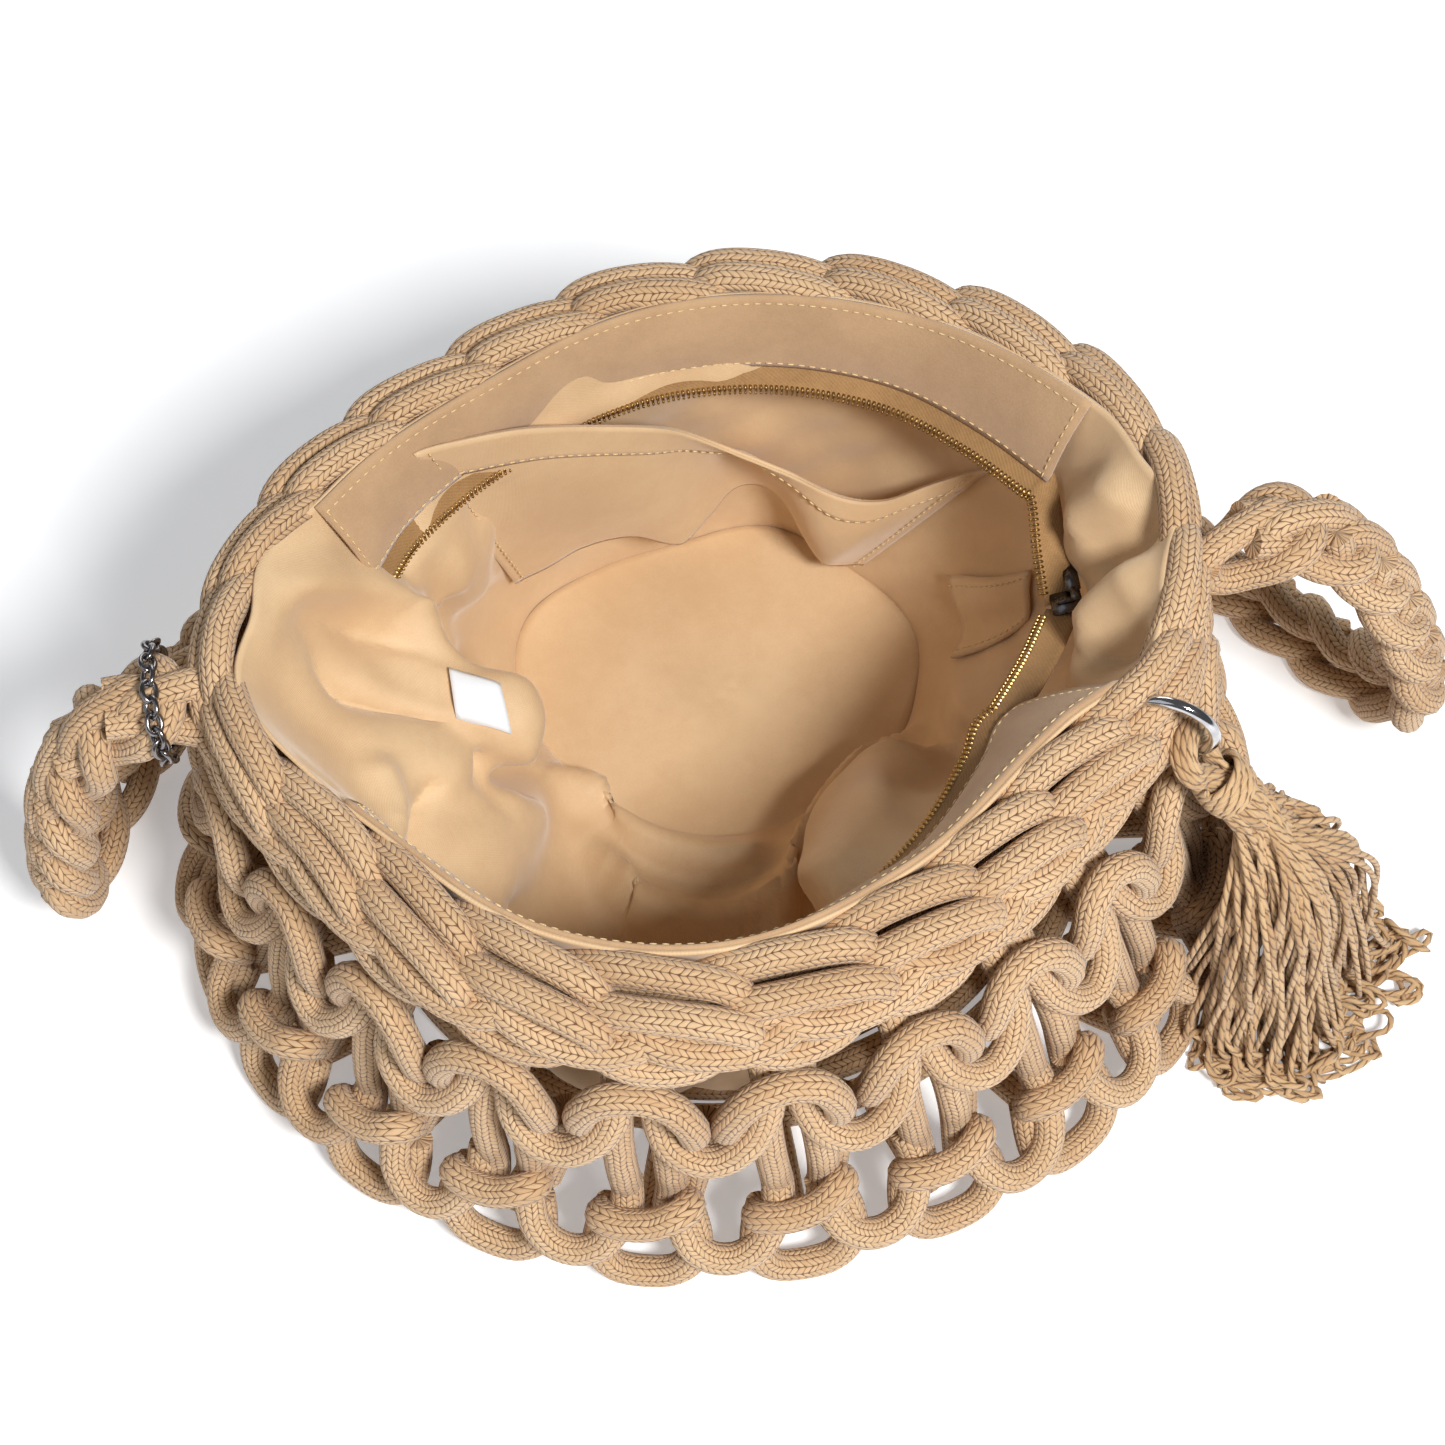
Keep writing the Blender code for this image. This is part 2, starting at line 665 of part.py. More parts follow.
def ring_frame():
    """The ring hangs through the rim's outer strand, its plane upright and along the outward direction."""
    out = outward_at(RING_DIRECTION)
    return frame_at(mouth_point(RING_DIRECTION, 0, RING_BELOW), out, out.cross(Vector((0, 0, 1))))


def make_ring(rim):
    radius = (RING_DIAMETER - RING_WIRE) / 2
    ring = add("tassel_ring", torus_mesh("tassel_ring", radius, RING_WIRE, 20, 6, ring_frame()))
    space = torus_mesh("ring_space", radius, RING_WIRE + 3 * CLEARANCE, 20, 6, ring_frame())
    combine(rim, "DIFFERENCE", as_helper("ring_space", space, cutters))
    return ring


def make_tassel():
    """Loop, binding and skirt locks fused into one body that hangs on the ring and lies on the floor."""
    group = bpy.data.collections.new("tassel_locks")
    cutters.children.link(group)
    frame = ring_frame()
    hang = math.radians(TASSEL_HANG)
    out = outward_at(RING_DIRECTION)
    down = out * math.cos(hang) - Vector((0, 0, math.sin(hang)))
    wire_radius = (RING_DIAMETER - RING_WIRE) / 2
    slack = LOOP_RADIUS - LOOP_WIRE / 2 - RING_WIRE / 2 - CLEARANCE
    loop_centre = frame.translation + down * (wire_radius + slack)
    across = frame.to_3x3().col[2]
    loop_frame = frame_at(loop_centre, down, down.cross(across))
    tassel = add("tassel", torus_mesh("tassel", LOOP_RADIUS, LOOP_WIRE, 16, 8, loop_frame))
    start = loop_centre + down * (LOOP_RADIUS + 0.2 * BINDING_LONG)
    band = bpy.data.meshes.new("binding")
    work = bmesh.new()
    bmesh.ops.create_cone(
        work, cap_ends=True, segments=14, radius1=BINDING_DIAMETER / 2, radius2=BINDING_DIAMETER / 2,
        depth=BINDING_LONG, matrix=frame_at(start + down * BINDING_LONG / 2, across, down),
    )
    work.to_mesh(band)
    work.free()
    as_helper("binding", tidy(band), group)
    root = start + down * BINDING_LONG * 0.7
    for i, row in enumerate(LOCKS):
        half_x, half_y = FOOT_HALF_X * row.outward, FOOT_HALF_Y * row.outward
        end = on_oval(row.direction, half_x, half_y, RIM_TOP * row.end_height)
        lying = row.end_height < LYING
        middle = root.lerp(end, LOCK_BEND) + (Vector((0, 0, 1)) + out) * row.belly * RIM_TALL
        touch = root.lerp(end, LOCK_TOUCH)
        touch.z = end.z if lying else touch.z
        droop = root.lerp(middle, 0.5) + down * LOCK_THICK / 6
        path = smooth_path([root, droop, middle, touch, end], LOCK_STEPS)
        sides = carried_sides(path, Vector((0, 0, 1)))
        rings = []
        for k, point in enumerate(path):
            face = along(path, k).cross(sides[k])
            thick = LOCK_THICK / 2 * (0.55 + 0.45 * math.sin(math.pi * min(k / LOCK_STEPS, 0.75)))
            ring = [
                point + (sides[k] * math.cos(math.tau * j / 6) + face * math.sin(math.tau * j / 6)) * thick
                for j in range(6)
            ]
            rings.append(on_floor(ring, down=lying and k == LOCK_STEPS))
        as_helper(f"lock_{i}", loft("lock", rings), group)
    combine(tassel, "UNION", group=group)
    return tassel


def build():
    rope, cloth, suede = (0.56, 0.36, 0.20), (0.62, 0.40, 0.21), (0.45, 0.29, 0.16)
    rim = colour(add("rope_rim", rim_mesh("rope_rim", 0)), "rim rope", rope, 0.85)
    colour(make_net(), "net rope", rope, 0.85)
    colour(make_base(), "base rope", rope, 0.85)
    colour(make_lining(), "lining twill", cloth, 0.55)
    colour(make_facing("facing_back", BACK_FACING), "back facing suede", suede, 0.75)
    colour(make_facing("facing_front", FRONT_FACING), "front facing suede", suede, 0.75)
    for side, rows, backwards in (("back", BACK_FACING, False), ("front", FRONT_FACING, True)):
        tape, teeth = make_zip(side, rows, backwards)
        colour(tape, f"{side} zip tape", (0.30, 0.18, 0.08), 0.80)
        colour(teeth, f"{side} zip teeth", (0.45, 0.32, 0.14), 0.35, 1.0)
    slider = make_box("zip_slider", SLIDER, slider_frame())
    colour(slider, "slider metal", (0.10, 0.09, 0.08), 0.35, 1.0)
    finishes = {
        "slip_pocket": (CLOTH, "pocket twill", cloth, 0.55), "zip_end_tab": (FACING, "tab suede", suede, 0.75),
        "care_label": (LABEL, "label satin", (0.85, 0.88, 0.92), 0.45),
    }
    for row in SEWN:
        thickness, name, base, roughness = finishes[row.name]
        colour(make_sewn(row, thickness), name, base, roughness)
    colour(make_strap(), "strap rope", rope, 0.85)
    colour(make_chain(), "chain nickel", (0.25, 0.23, 0.22), 0.30, 1.0)
    colour(make_ring(rim), "ring nickel", (0.60, 0.60, 0.62), 0.12, 1.0)
    colour(make_tassel(), "tassel cord", rope, 0.85)


for old in list(bpy.data.objects):
    bpy.data.objects.remove(old)
parts = bpy.data.collections.new("rope_shoulder_bag")
cutters = bpy.data.collections.new("cutters")
for collection in (parts, cutters):
    bpy.context.scene.collection.children.link(collection)
build()
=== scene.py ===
"""Looks of the rope shoulder bag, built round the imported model: X right, Y back, Z up, in metres."""

import math

import bmesh
import bpy
import numpy as np
from mathutils import Matrix, Vector


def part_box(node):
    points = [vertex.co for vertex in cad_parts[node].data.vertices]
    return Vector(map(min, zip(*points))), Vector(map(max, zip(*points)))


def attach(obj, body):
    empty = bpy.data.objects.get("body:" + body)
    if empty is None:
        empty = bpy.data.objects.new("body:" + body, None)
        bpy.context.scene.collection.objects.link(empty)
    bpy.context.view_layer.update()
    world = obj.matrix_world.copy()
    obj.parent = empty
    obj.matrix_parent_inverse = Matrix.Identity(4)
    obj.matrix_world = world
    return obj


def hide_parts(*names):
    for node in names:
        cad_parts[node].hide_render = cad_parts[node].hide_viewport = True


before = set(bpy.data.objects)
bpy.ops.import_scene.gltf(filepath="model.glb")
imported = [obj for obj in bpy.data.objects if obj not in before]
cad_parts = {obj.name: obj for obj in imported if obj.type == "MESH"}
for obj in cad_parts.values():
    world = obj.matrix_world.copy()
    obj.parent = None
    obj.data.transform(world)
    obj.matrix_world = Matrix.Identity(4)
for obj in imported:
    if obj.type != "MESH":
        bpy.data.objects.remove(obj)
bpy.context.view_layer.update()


# Camera, light and floor: a high view down into the open mouth, over a plain pale floor, with a key light
# from the front right and soft lights from the left and from behind.
PHOTO, FOCAL, SHIFT_RIGHT, SHIFT_DOWN = 1445, 2905, 9.5, 95.5
SENSOR = 36
EYE = Vector((-0.0608, -0.4180, 0.8790))
AIM = Vector((-0.0030, -0.0070, 0.1600))

camera = bpy.data.objects.new("camera", bpy.data.cameras.new("camera"))
camera.data.sensor_width = SENSOR
camera.data.lens = SENSOR * (FOCAL / PHOTO)
camera.data.shift_x = SHIFT_RIGHT / PHOTO
camera.data.shift_y = -SHIFT_DOWN / PHOTO
camera.location = EYE
camera.rotation_mode = "QUATERNION"
camera.rotation_quaternion = (AIM - EYE).to_track_quat("-Z", "Y")
bpy.context.scene.collection.objects.link(camera)
bpy.context.scene.camera = camera


def lamp(name, place, size, power, tint):
    """A square light of a size in metres and a power in watts, turned to the bag."""
    light = bpy.data.lights.new(name, "AREA")
    light.size, light.energy, light.color = size, power, tint
    holder = bpy.data.objects.new(name, light)
    holder.location = place
    holder.rotation_mode = "QUATERNION"
    holder.rotation_quaternion = (-Vector(place)).to_track_quat("-Z", "Y")
    bpy.context.scene.collection.objects.link(holder)


lamp("key light", (0.45, -0.92, 1.48), 0.36, 34, (1.0, 0.985, 0.96))
lamp("fill light", (-1.1, -0.5, 1.0), 1.2, 3, (0.93, 0.96, 1.0))
lamp("back light", (0.1, 1.5, 0.70), 0.9, 7, (1.0, 0.99, 0.97))
bpy.context.scene.view_settings.view_transform = "Standard"

world = bpy.data.worlds.new("studio")
world.use_nodes = True
world.node_tree.nodes["Background"].inputs["Color"].default_value = (0.94, 0.97, 1.0, 1)
world.node_tree.nodes["Background"].inputs["Strength"].default_value = 0.12
bpy.context.scene.world = world


class Wire:
    """A shader socket that sums are written with. put() adds any node, of() takes another of its outputs."""

    def __init__(self, tree, socket=None):
        self.tree, self.socket = tree, socket

    def put(self, kind, settings=None, sockets=None, out=0):
        node = self.tree.nodes.new(kind)
        for name, value in (settings or {}).items():
            setattr(node, name, value)
        for name, value in (sockets or {}).items():
            if isinstance(value, Wire):
                self.tree.links.new(value.socket, node.inputs[name])
            else:
                node.inputs[name].default_value = value
        return Wire(self.tree, node.outputs[out])

    def of(self, out):
        return Wire(self.tree, self.socket.node.outputs[out])

    def stored(self, name, out):
        return self.put("ShaderNodeAttribute", {"attribute_name": name}, out=out)

    def noise(self, scale, detail=2.0, roughness=0.5):
        """Soft noise, read where these coordinates say."""
        sockets = {"Vector": self, "Scale": scale, "Detail": detail, "Roughness": roughness}
        return self.put("ShaderNodeTexNoise", {}, sockets)

    def bump(self, strength, distance):
        return self.put("ShaderNodeBump", {}, {"Strength": strength, "Distance": distance, "Height": self})

    def sum(self, operation, *others):
        return self.put("ShaderNodeMath", {"operation": operation}, dict(enumerate((self, *others))))

    def from_other(self, operation, other):
        return self.put("ShaderNodeMath", {"operation": operation}, {0: other, 1: self})

    def __add__(self, other):
        return self.sum("ADD", other)

    def __radd__(self, other):
        return self.sum("ADD", other)

    def __sub__(self, other):
        return self.sum("SUBTRACT", other)

    def __rsub__(self, other):
        return self.from_other("SUBTRACT", other)

    def __mul__(self, other):
        return self.sum("MULTIPLY", other)

    def __rmul__(self, other):
        return self.sum("MULTIPLY", other)

    def __truediv__(self, other):
        return self.sum("DIVIDE", other)

    def __pow__(self, other):
        return self.sum("POWER", other)

    def __mod__(self, other):
        return self.sum("FLOORED_MODULO", other)

    def between(self, low, high):
        """0 below low and 1 above high, with a soft step between."""
        return self.put(
            "ShaderNodeMapRange", {"interpolation_type": "SMOOTHSTEP"},
            {"Value": self, "From Min": low, "From Max": high},
        )

    def blend(self, first, second):
        """The first colour where this is 0 and the second where it is 1."""
        first, second = (*first, 1), (*second, 1) if not isinstance(second, Wire) else second
        return self.put("ShaderNodeMix", {"data_type": "RGBA"}, {0: self, 6: first, 7: second}, out=2)


def finish(name, roughness, **fixed):
    """A new material: its shader, with its fixed values set, and a wire to add nodes with."""
    material = bpy.data.materials.new(name)
    material.use_nodes = True
    shader = material.node_tree.nodes["Principled BSDF"]
    shader.inputs["Roughness"].default_value = roughness
    for socket, value in fixed.items():
        shader.inputs[socket.replace("_", " ").title()].default_value = value
    return material, shader, Wire(material.node_tree)


def wear(material, shader, **links):
    """Links to the shader's sockets, such as base_color, roughness and normal."""
    for socket, value in links.items():
        material.node_tree.links.new(value.socket, shader.inputs[socket.replace("_", " ").title()])
    return material


def tint(red, green, blue):
    """A colour seen on screen, 0 to 255, as the light it reflects."""
    shares = (value / 255 for value in (red, green, blue))
    return tuple(v / 12.92 if v <= 0.04045 else ((v + 0.055) / 1.055) ** 2.4 for v in shares)


floor_mesh = bpy.data.meshes.new("floor")
floor_mesh.from_pydata([(-6, -6, 0), (6, -6, 0), (6, 6, 0), (-6, 6, 0)], [], [(0, 1, 2, 3)])
floor = bpy.data.objects.new("floor", floor_mesh)
floor_paint, floor_shader, w = finish("floor paper", 0.9)
grain = w.put("ShaderNodeTexCoord", out="Object").noise(60.0, 4.0)
paper = grain.between(0.2, 0.8).blend((0.86, 0.87, 0.89), (0.88, 0.89, 0.905))
wear(floor_paint, floor_shader, base_color=paper)
floor_shader.inputs["Emission Color"].default_value = (0.93, 0.96, 1.0, 1)
floor_shader.inputs["Emission Strength"].default_value = 0.30
floor_mesh.materials.append(floor_paint)
bpy.context.scene.collection.objects.link(floor)


# Crocheted rim: thick plaited cotton rope worked round the mouth in long slanted chain stitches, each rounded
# end lying over the start of the next, with two more strands hooked under them on the outer side.
ROPE = 0.010
COLUMNS = 22
MOUTH_HALF_X, MOUTH_HALF_Y = 0.148, 0.130
RIM_TOP, RIM_WIDE, RIM_TALL = 0.165, 0.026, 0.030
# Columns: direction in degrees, reach and height as shares of the plain oval's
MOUTH = np.array([
    (0, 0.965, 1.00), (30, 1.045, 0.98), (60, 1.045, 0.97), (90, 1.015, 0.97), (120, 0.955, 0.97),
    (150, 0.990, 0.98), (180, 1.025, 1.00), (210, 0.970, 0.98), (240, 1.005, 0.96), (262, 0.990, 0.95),
    (290, 0.910, 0.95), (318, 0.870, 0.96), (340, 0.930, 0.98),
])


def read(rows, column, at, period=None):
    """A table's column at many places at once, on a smooth curve through its rows."""
    first, values = rows[:, 0], rows[:, column]
    at = np.asarray(at, float)
    if period:
        first = np.concatenate([first[-2:] - period, first, first[:2] + period])
        values = np.concatenate([values[-2:], values, values[:2]])
        at = at % period
    else:
        first = np.concatenate([first[:1] * 2 - first[1:2], first, first[-1:] * 2 - first[-2:-1]])
        values = np.concatenate([values[:1], values, values[-1:]])
        at = np.clip(at, first[1], first[-2])
    k = np.clip(np.searchsorted(first, at, side="right") - 1, 1, len(first) - 3)
    step = first[k + 1] - first[k]
    share = (at - first[k]) / step
    slope_in = (values[k + 1] - values[k - 1]) / (first[k + 1] - first[k - 1]) * step
    slope_out = (values[k + 2] - values[k]) / (first[k + 2] - first[k]) * step
    square, cube = share ** 2, share ** 3
    return (
        values[k] * (2 * cube - 3 * square + 1) + slope_in * (cube - 2 * square + share)
        + values[k + 1] * (3 * square - 2 * cube) + slope_out * (cube - square)
    )


def unit(vectors):
    return vectors / np.linalg.norm(vectors, axis=-1, keepdims=True)


def run_of(line):
    """How far along a line each of its points lies."""
    return np.concatenate([[0], np.cumsum(np.linalg.norm(np.diff(line, axis=0), axis=1))])


def spots(at, run, line):
    """Points of a line, or vectors kept along it, at some places of its run."""
    return np.stack([np.interp(at, run, line[:, axis]) for axis in range(3)], -1)


def outward(direction):
    """Level directions out of the bag, for directions round it in degrees."""
    turn = np.radians(direction)
    return unit(np.stack([np.cos(turn) / MOUTH_HALF_X, np.sin(turn) / MOUTH_HALF_Y, np.zeros_like(turn)], -1))


def mouth(direction, inset, below_top):
    """Points of the mouth's outline, moved in by inset and down from the rim's top."""
    direction = np.asarray(direction, float)
    turn, reach = np.radians(direction), read(MOUTH, 1, direction, 360)
    height = RIM_TOP * read(MOUTH, 2, direction, 360) - below_top
    oval = np.stack([MOUTH_HALF_X * reach * np.cos(turn), MOUTH_HALF_Y * reach * np.sin(turn), height], -1)
    return oval - outward(direction) * np.asarray(inset)[..., None]


def smooth(points, closed=False, fine=14):
    """A fine line on a smooth curve through a few points."""
    points = np.asarray(points, float)
    if closed:
        points = np.concatenate([points[-2:], points, points[:3]])
    else:
        points = np.concatenate([points[:1] * 2 - points[1:2], points, points[-1:] * 2 - points[-2:-1]])
    knots = np.concatenate([[0], np.cumsum(np.linalg.norm(np.diff(points, axis=0), axis=1) ** 0.5)])
    line = []
    for k in range(2 if closed else 1, len(points) - (3 if closed else 2)):
        step = knots[k + 1] - knots[k]
        into = (points[k + 1] - points[k - 1]) / (knots[k + 1] - knots[k - 1]) * step
        away = (points[k + 2] - points[k]) / (knots[k + 2] - knots[k]) * step
        t = np.linspace(0, 1, fine, endpoint=False)[:, None]
        line.append(
            points[k] * (2 * t ** 3 - 3 * t ** 2 + 1) + into * (t ** 3 - 2 * t ** 2 + t)
            + points[k + 1] * (3 * t ** 2 - 2 * t ** 3) + away * (t ** 3 - t ** 2)
        )
    if not closed:
        line.append(points[-2:-1])
    return np.concatenate(line)


def lay(points, thick, step=0.0022, closed=False):
    """A strand's points evenly spaced, how far along it each is, and its share of full thickness there."""
    line = smooth(points, closed)
    if closed:
        line = np.concatenate([line, line[:1]])
    run = run_of(line)
    total = run[-1]
    if closed:
        at = np.linspace(0, total, max(8, round(total / step)), endpoint=False)
        share = np.ones_like(at)
    else:
        end = thick / 2 * np.array([0.0, 0.06, 0.25, 0.6])
        middle = np.linspace(thick / 2, total - thick / 2, max(3, round((total - thick) / step)))
        at = np.concatenate([end, middle, (total - end)[::-1]])
        near = np.clip(np.minimum(at, total - at) / (thick / 2), 0, 1)
        share = np.sqrt(np.clip(1 - (1 - near) ** 2, 0.0004, 1))
    return spots(at, run, line), at, share, closed


def new_tree(name, **inputs):
    """A tree of geometry nodes with its inputs, and the function that adds a node and joins its sockets."""
    tree = bpy.data.node_groups.new(name, "GeometryNodeTree")
    for label, kind in {"Geometry": "Geometry", **inputs}.items():
        tree.interface.new_socket(label, in_out="INPUT", socket_type=f"NodeSocket{kind}")
    tree.interface.new_socket("Geometry", in_out="OUTPUT", socket_type="NodeSocketGeometry")

    def add(kind, sockets=None, **settings):
        node = tree.nodes.new(kind)
        for key, value in settings.items():
            setattr(node, key, value)
        for key, value in (sockets or {}).items():
            if isinstance(value, bpy.types.NodeSocket):
                tree.links.new(value, node.inputs[key])
            else:
                node.inputs[key].default_value = value
        return node.outputs

    return tree, add


def sweep_tree():
    """Geometry nodes that give strands their round section: thickness, sides and finish are inputs."""
    tree, add = new_tree("lay rope", Thickness="Float", Sides="Int", Finish="Material")
    given = add("NodeGroupInput")
    line = add("GeometryNodeMeshToCurve", {"Mesh": given["Geometry"]})
    share = add("GeometryNodeInputNamedAttribute", {"Name": "share"}, data_type="FLOAT")
    radius = add("GeometryNodeSetCurveRadius", {"Curve": line["Curve"], "Radius": share["Attribute"]})
    normal = add("GeometryNodeSetCurveNormal", {"Curve": radius["Curve"]})
    half = add("ShaderNodeMath", {0: given["Thickness"], 1: 0.5}, operation="MULTIPLY")
    circle = add("GeometryNodeCurvePrimitiveCircle", {"Resolution": given["Sides"], "Radius": half[0]})
    turn = add("GeometryNodeSplineParameter")
    spin = add("ShaderNodeMath", {0: turn["Factor"], 1: math.tau}, operation="MULTIPLY")
    keep = tree.nodes.new("GeometryNodeCaptureAttribute")
    keep.capture_items.new("FLOAT", "spin")
    tree.links.new(circle["Curve"], keep.inputs["Geometry"])
    tree.links.new(spin[0], keep.inputs["spin"])
    swept = add("GeometryNodeCurveToMesh", {
        "Curve": normal["Curve"], "Profile Curve": keep.outputs["Geometry"], "Fill Caps": True,
    })
    cosine = add("ShaderNodeMath", {0: keep.outputs["spin"]}, operation="COSINE")
    sine = add("ShaderNodeMath", {0: keep.outputs["spin"]}, operation="SINE")
    along = add("GeometryNodeInputNamedAttribute", {"Name": "along"}, data_type="FLOAT")
    packed = add("ShaderNodeCombineXYZ", {0: cosine[0], 1: sine[0], 2: along["Attribute"]})
    store = tree.nodes.new("GeometryNodeStoreNamedAttribute")
    store.data_type = "FLOAT_VECTOR"
    store.inputs["Name"].default_value = "plait"
    tree.links.new(swept["Mesh"], store.inputs["Geometry"])
    tree.links.new(packed[0], store.inputs["Value"])
    even = add("GeometryNodeSetShadeSmooth", {"Geometry": store.outputs["Geometry"]})
    paint = add("GeometryNodeSetMaterial", {"Geometry": even["Geometry"], "Material": given["Finish"]})
    add("NodeGroupOutput", {"Geometry": paint["Geometry"]})
    return tree


def run_tree(tree, carrier, **values):
    """The mesh that a tree of geometry nodes makes of a carrier, with the tree's named inputs set."""
    step = carrier.modifiers.new("make", "NODES")
    step.node_group = tree
    names = {item.name: item.identifier for item in tree.interface.items_tree if item.in_out == "INPUT"}
    for name, value in values.items():
        step[names[name]] = value
    bpy.context.view_layer.update()
    made = bpy.data.meshes.new_from_object(carrier.evaluated_get(bpy.context.evaluated_depsgraph_get()))
    bpy.data.objects.remove(carrier)
    return made


def link_new(name, mesh):
    piece = bpy.data.objects.new(name, mesh)
    bpy.context.scene.collection.objects.link(piece)
    return piece


SWEEP = sweep_tree()


def ropes(name, strands, thick, sides, material):
    """One piece from many strands."""
    points, edges, along, share, number = [], [], [], [], []
    count = 0
    for index, (place, at, full, closed) in enumerate(strands):
        size = len(place)
        points.append(place)
        along.append(at + index * 0.37)
        share.append(full)
        number.append(np.full(size, (index * 0.618) % 1))
        run = np.stack([np.arange(size - 1), np.arange(1, size)], -1) + count
        edges.append(run)
        if closed:
            edges.append(np.array([[count + size - 1, count]]))
        count += size
    carrier_mesh = bpy.data.meshes.new(name)
    carrier_mesh.from_pydata(np.concatenate(points).tolist(), np.concatenate(edges).tolist(), [])
    for key, values in (("along", along), ("share", share), ("strand", number)):
        carrier_mesh.attributes.new(key, "FLOAT", "POINT").data.foreach_set(
            "value", np.concatenate(values).astype(np.float32)
        )
    carrier = link_new(name + "_line", carrier_mesh)
    return link_new(name, run_tree(SWEEP, carrier, Thickness=thick, Sides=sides, Finish=material))


def plaited_rope(name, lit, mid, gap, legs=15, pitch=0.0022, relief=0.00045):
    """Plaited cotton: slanted stitches, two legs to a V, with fine yarns in each, and painted shade in the gap
    colour in the slits between them.
    """
    material, shader, w = finish(name, 0.85, sheen_weight=0.2, sheen_roughness=0.5)
    section = w.put("ShaderNodeSeparateXYZ", {}, {0: w.stored("plait", "Vector")})
    strand = w.stored("strand", "Fac")
    place = w.put("ShaderNodeTexCoord", out="Object")
    wander = place.noise(150.0)
    column = section.of("Y").sum("ARCTAN2", section.of("X")) * (legs / math.tau) + wander * 0.8
    stitch = section.of("Z") / pitch + column.sum("PINGPONG", 1.0) * 0.85 + wander * 1.0
    across = (column.sum("FRACT") * math.pi).sum("SINE")
    down = (stitch.sum("FRACT") * math.pi).sum("SINE")
    raised = (across ** 0.5) * (down ** 0.5)
    yarns = (stitch * (3 * math.tau)).sum("SINE") * 0.5 + 0.5
    fibre = place.noise(2400.0, 3.0)
    number = w.put("ShaderNodeCombineXYZ", {}, {0: stitch.sum("FLOOR"), 1: column.sum("FLOOR"), 2: strand})
    each = w.put("ShaderNodeTexWhiteNoise", {"noise_dimensions": "3D"}, {"Vector": number})
    patch = place.noise(28.0, 3.0)
    shade = each * 0.22 + patch * 0.50 + strand * 0.20 + fibre * 0.18
    body = shade.between(0.25, 0.85).blend(mid, lit)
    # Painted shade: where the stitch relief is low, between stitches, the colour turns to the dark gap colour
    # in place of real shadow.
    shaded_slit = raised - each * 0.26 + 0.12
    colour = shaded_slit.between(0.10, 0.50).blend(gap, body)
    normal = (raised + yarns * 0.08 + fibre * 0.15).bump(0.9, relief)
    return wear(material, shader, base_color=colour, normal=normal, roughness=0.92 - raised * 0.12)


# ROPE_PAINTED_SHADE is painted shade for the slits between stitches, not a colour of the rope itself.
ROPE_LIT, ROPE_MID, ROPE_PAINTED_SHADE = tint(218, 185, 146), tint(195, 158, 118), tint(104, 68, 39)
rope_finish = plaited_rope("plaited rope", ROPE_LIT, ROPE_MID, ROPE_PAINTED_SHADE)


def rim_at(column, across, up):
    """Points by the rim's middle line: columns round it, millimetres outward and up."""
    direction = np.asarray(column) * 360 / COLUMNS
    across, up = np.asarray(across) / 1000, np.asarray(up) / 1000
    lift = np.stack([np.zeros_like(up), np.zeros_like(up), up], -1)
    return mouth(direction, RIM_WIDE / 2, RIM_TALL / 2) + outward(direction) * across[..., None] + lift


RIM_START = 0.12
# Columns of the next four: stitches round the rim, then millimetres outward and up from its middle line
INNER_LEG = np.array([
    (-0.30, -7.4, -6.0), (-0.20, -8.0, 0.0), (-0.02, -8.0, 5.4), (0.25, -7.0, 9.4), (0.55, -5.2, 10.9),
    (0.82, -3.2, 10.4), (1.00, -1.6, 8.2), (1.10, -0.6, 2.8), (1.08, -0.2, -5.0),
])
OUTER_LEG = np.array([
    (-0.06, 0.4, -6.0), (0.02, 1.4, -0.4), (0.16, 3.0, 3.8), (0.42, 4.6, 6.4), (0.70, 6.2, 7.0),
    (0.92, 7.8, 5.8), (1.06, 8.8, 3.2), (1.14, 9.0, -1.0), (1.12, 8.4, -7.0),
])
HOOKED_STRAND = np.array([
    (0.30, 3.2, -3.2), (0.46, 8.2, -3.0), (0.74, 11.2, -5.2), (1.04, 11.8, -6.6), (1.28, 11.0, -5.6),
    (1.46, 8.4, -3.6), (1.60, 3.6, -2.8),
])
LOWER_STRAND = np.array([
    (-0.06, 2.6, -6.0), (0.12, 8.4, -11.0), (0.34, 11.0, -15.2), (0.60, 11.4, -16.2), (0.86, 9.8, -13.8),
    (1.08, 3.4, -7.4),
])
# Columns: direction in degrees, and how far out the rim's inner side lies from its middle line, in millimetres
RIM_INNER = np.array([
    (0, 4.5), (20, 2.5), (36, -4.0), (60, -5.5), (90, -5.5), (120, -5.5), (146, -4.5), (164, 0.0), (180, 3.0),
    (198, 1.0), (214, -5.5), (240, -7.8), (270, -7.8), (300, -7.8), (326, -6.0), (342, 1.0),
])
RIM_SWAY, RIM_OUTER, RIM_SINK, RIM_ROPE = 8.0, 11.8, 4.5, 0.0102
CORE_RINGS = ((-3.0, -4.0), (1.0, -9.0), (4.4, -2.2))


def rim_laid(shape, stitch):
    """A rim stitch's points, drawn together where the lining covers the rim's inner side."""
    column = shape[:, 0] + stitch + RIM_START
    inner = read(RIM_INNER, 1, column * 360 / COLUMNS, 360)
    room = (RIM_OUTER - inner) / (RIM_OUTER + RIM_SWAY)
    across = inner + (shape[:, 1] + RIM_SWAY) * room
    lower = (1 - room) * RIM_SINK * np.clip(shape[:, 1] / 6, -0.6, 1)
    return rim_at(column, across, shape[:, 2] - lower)


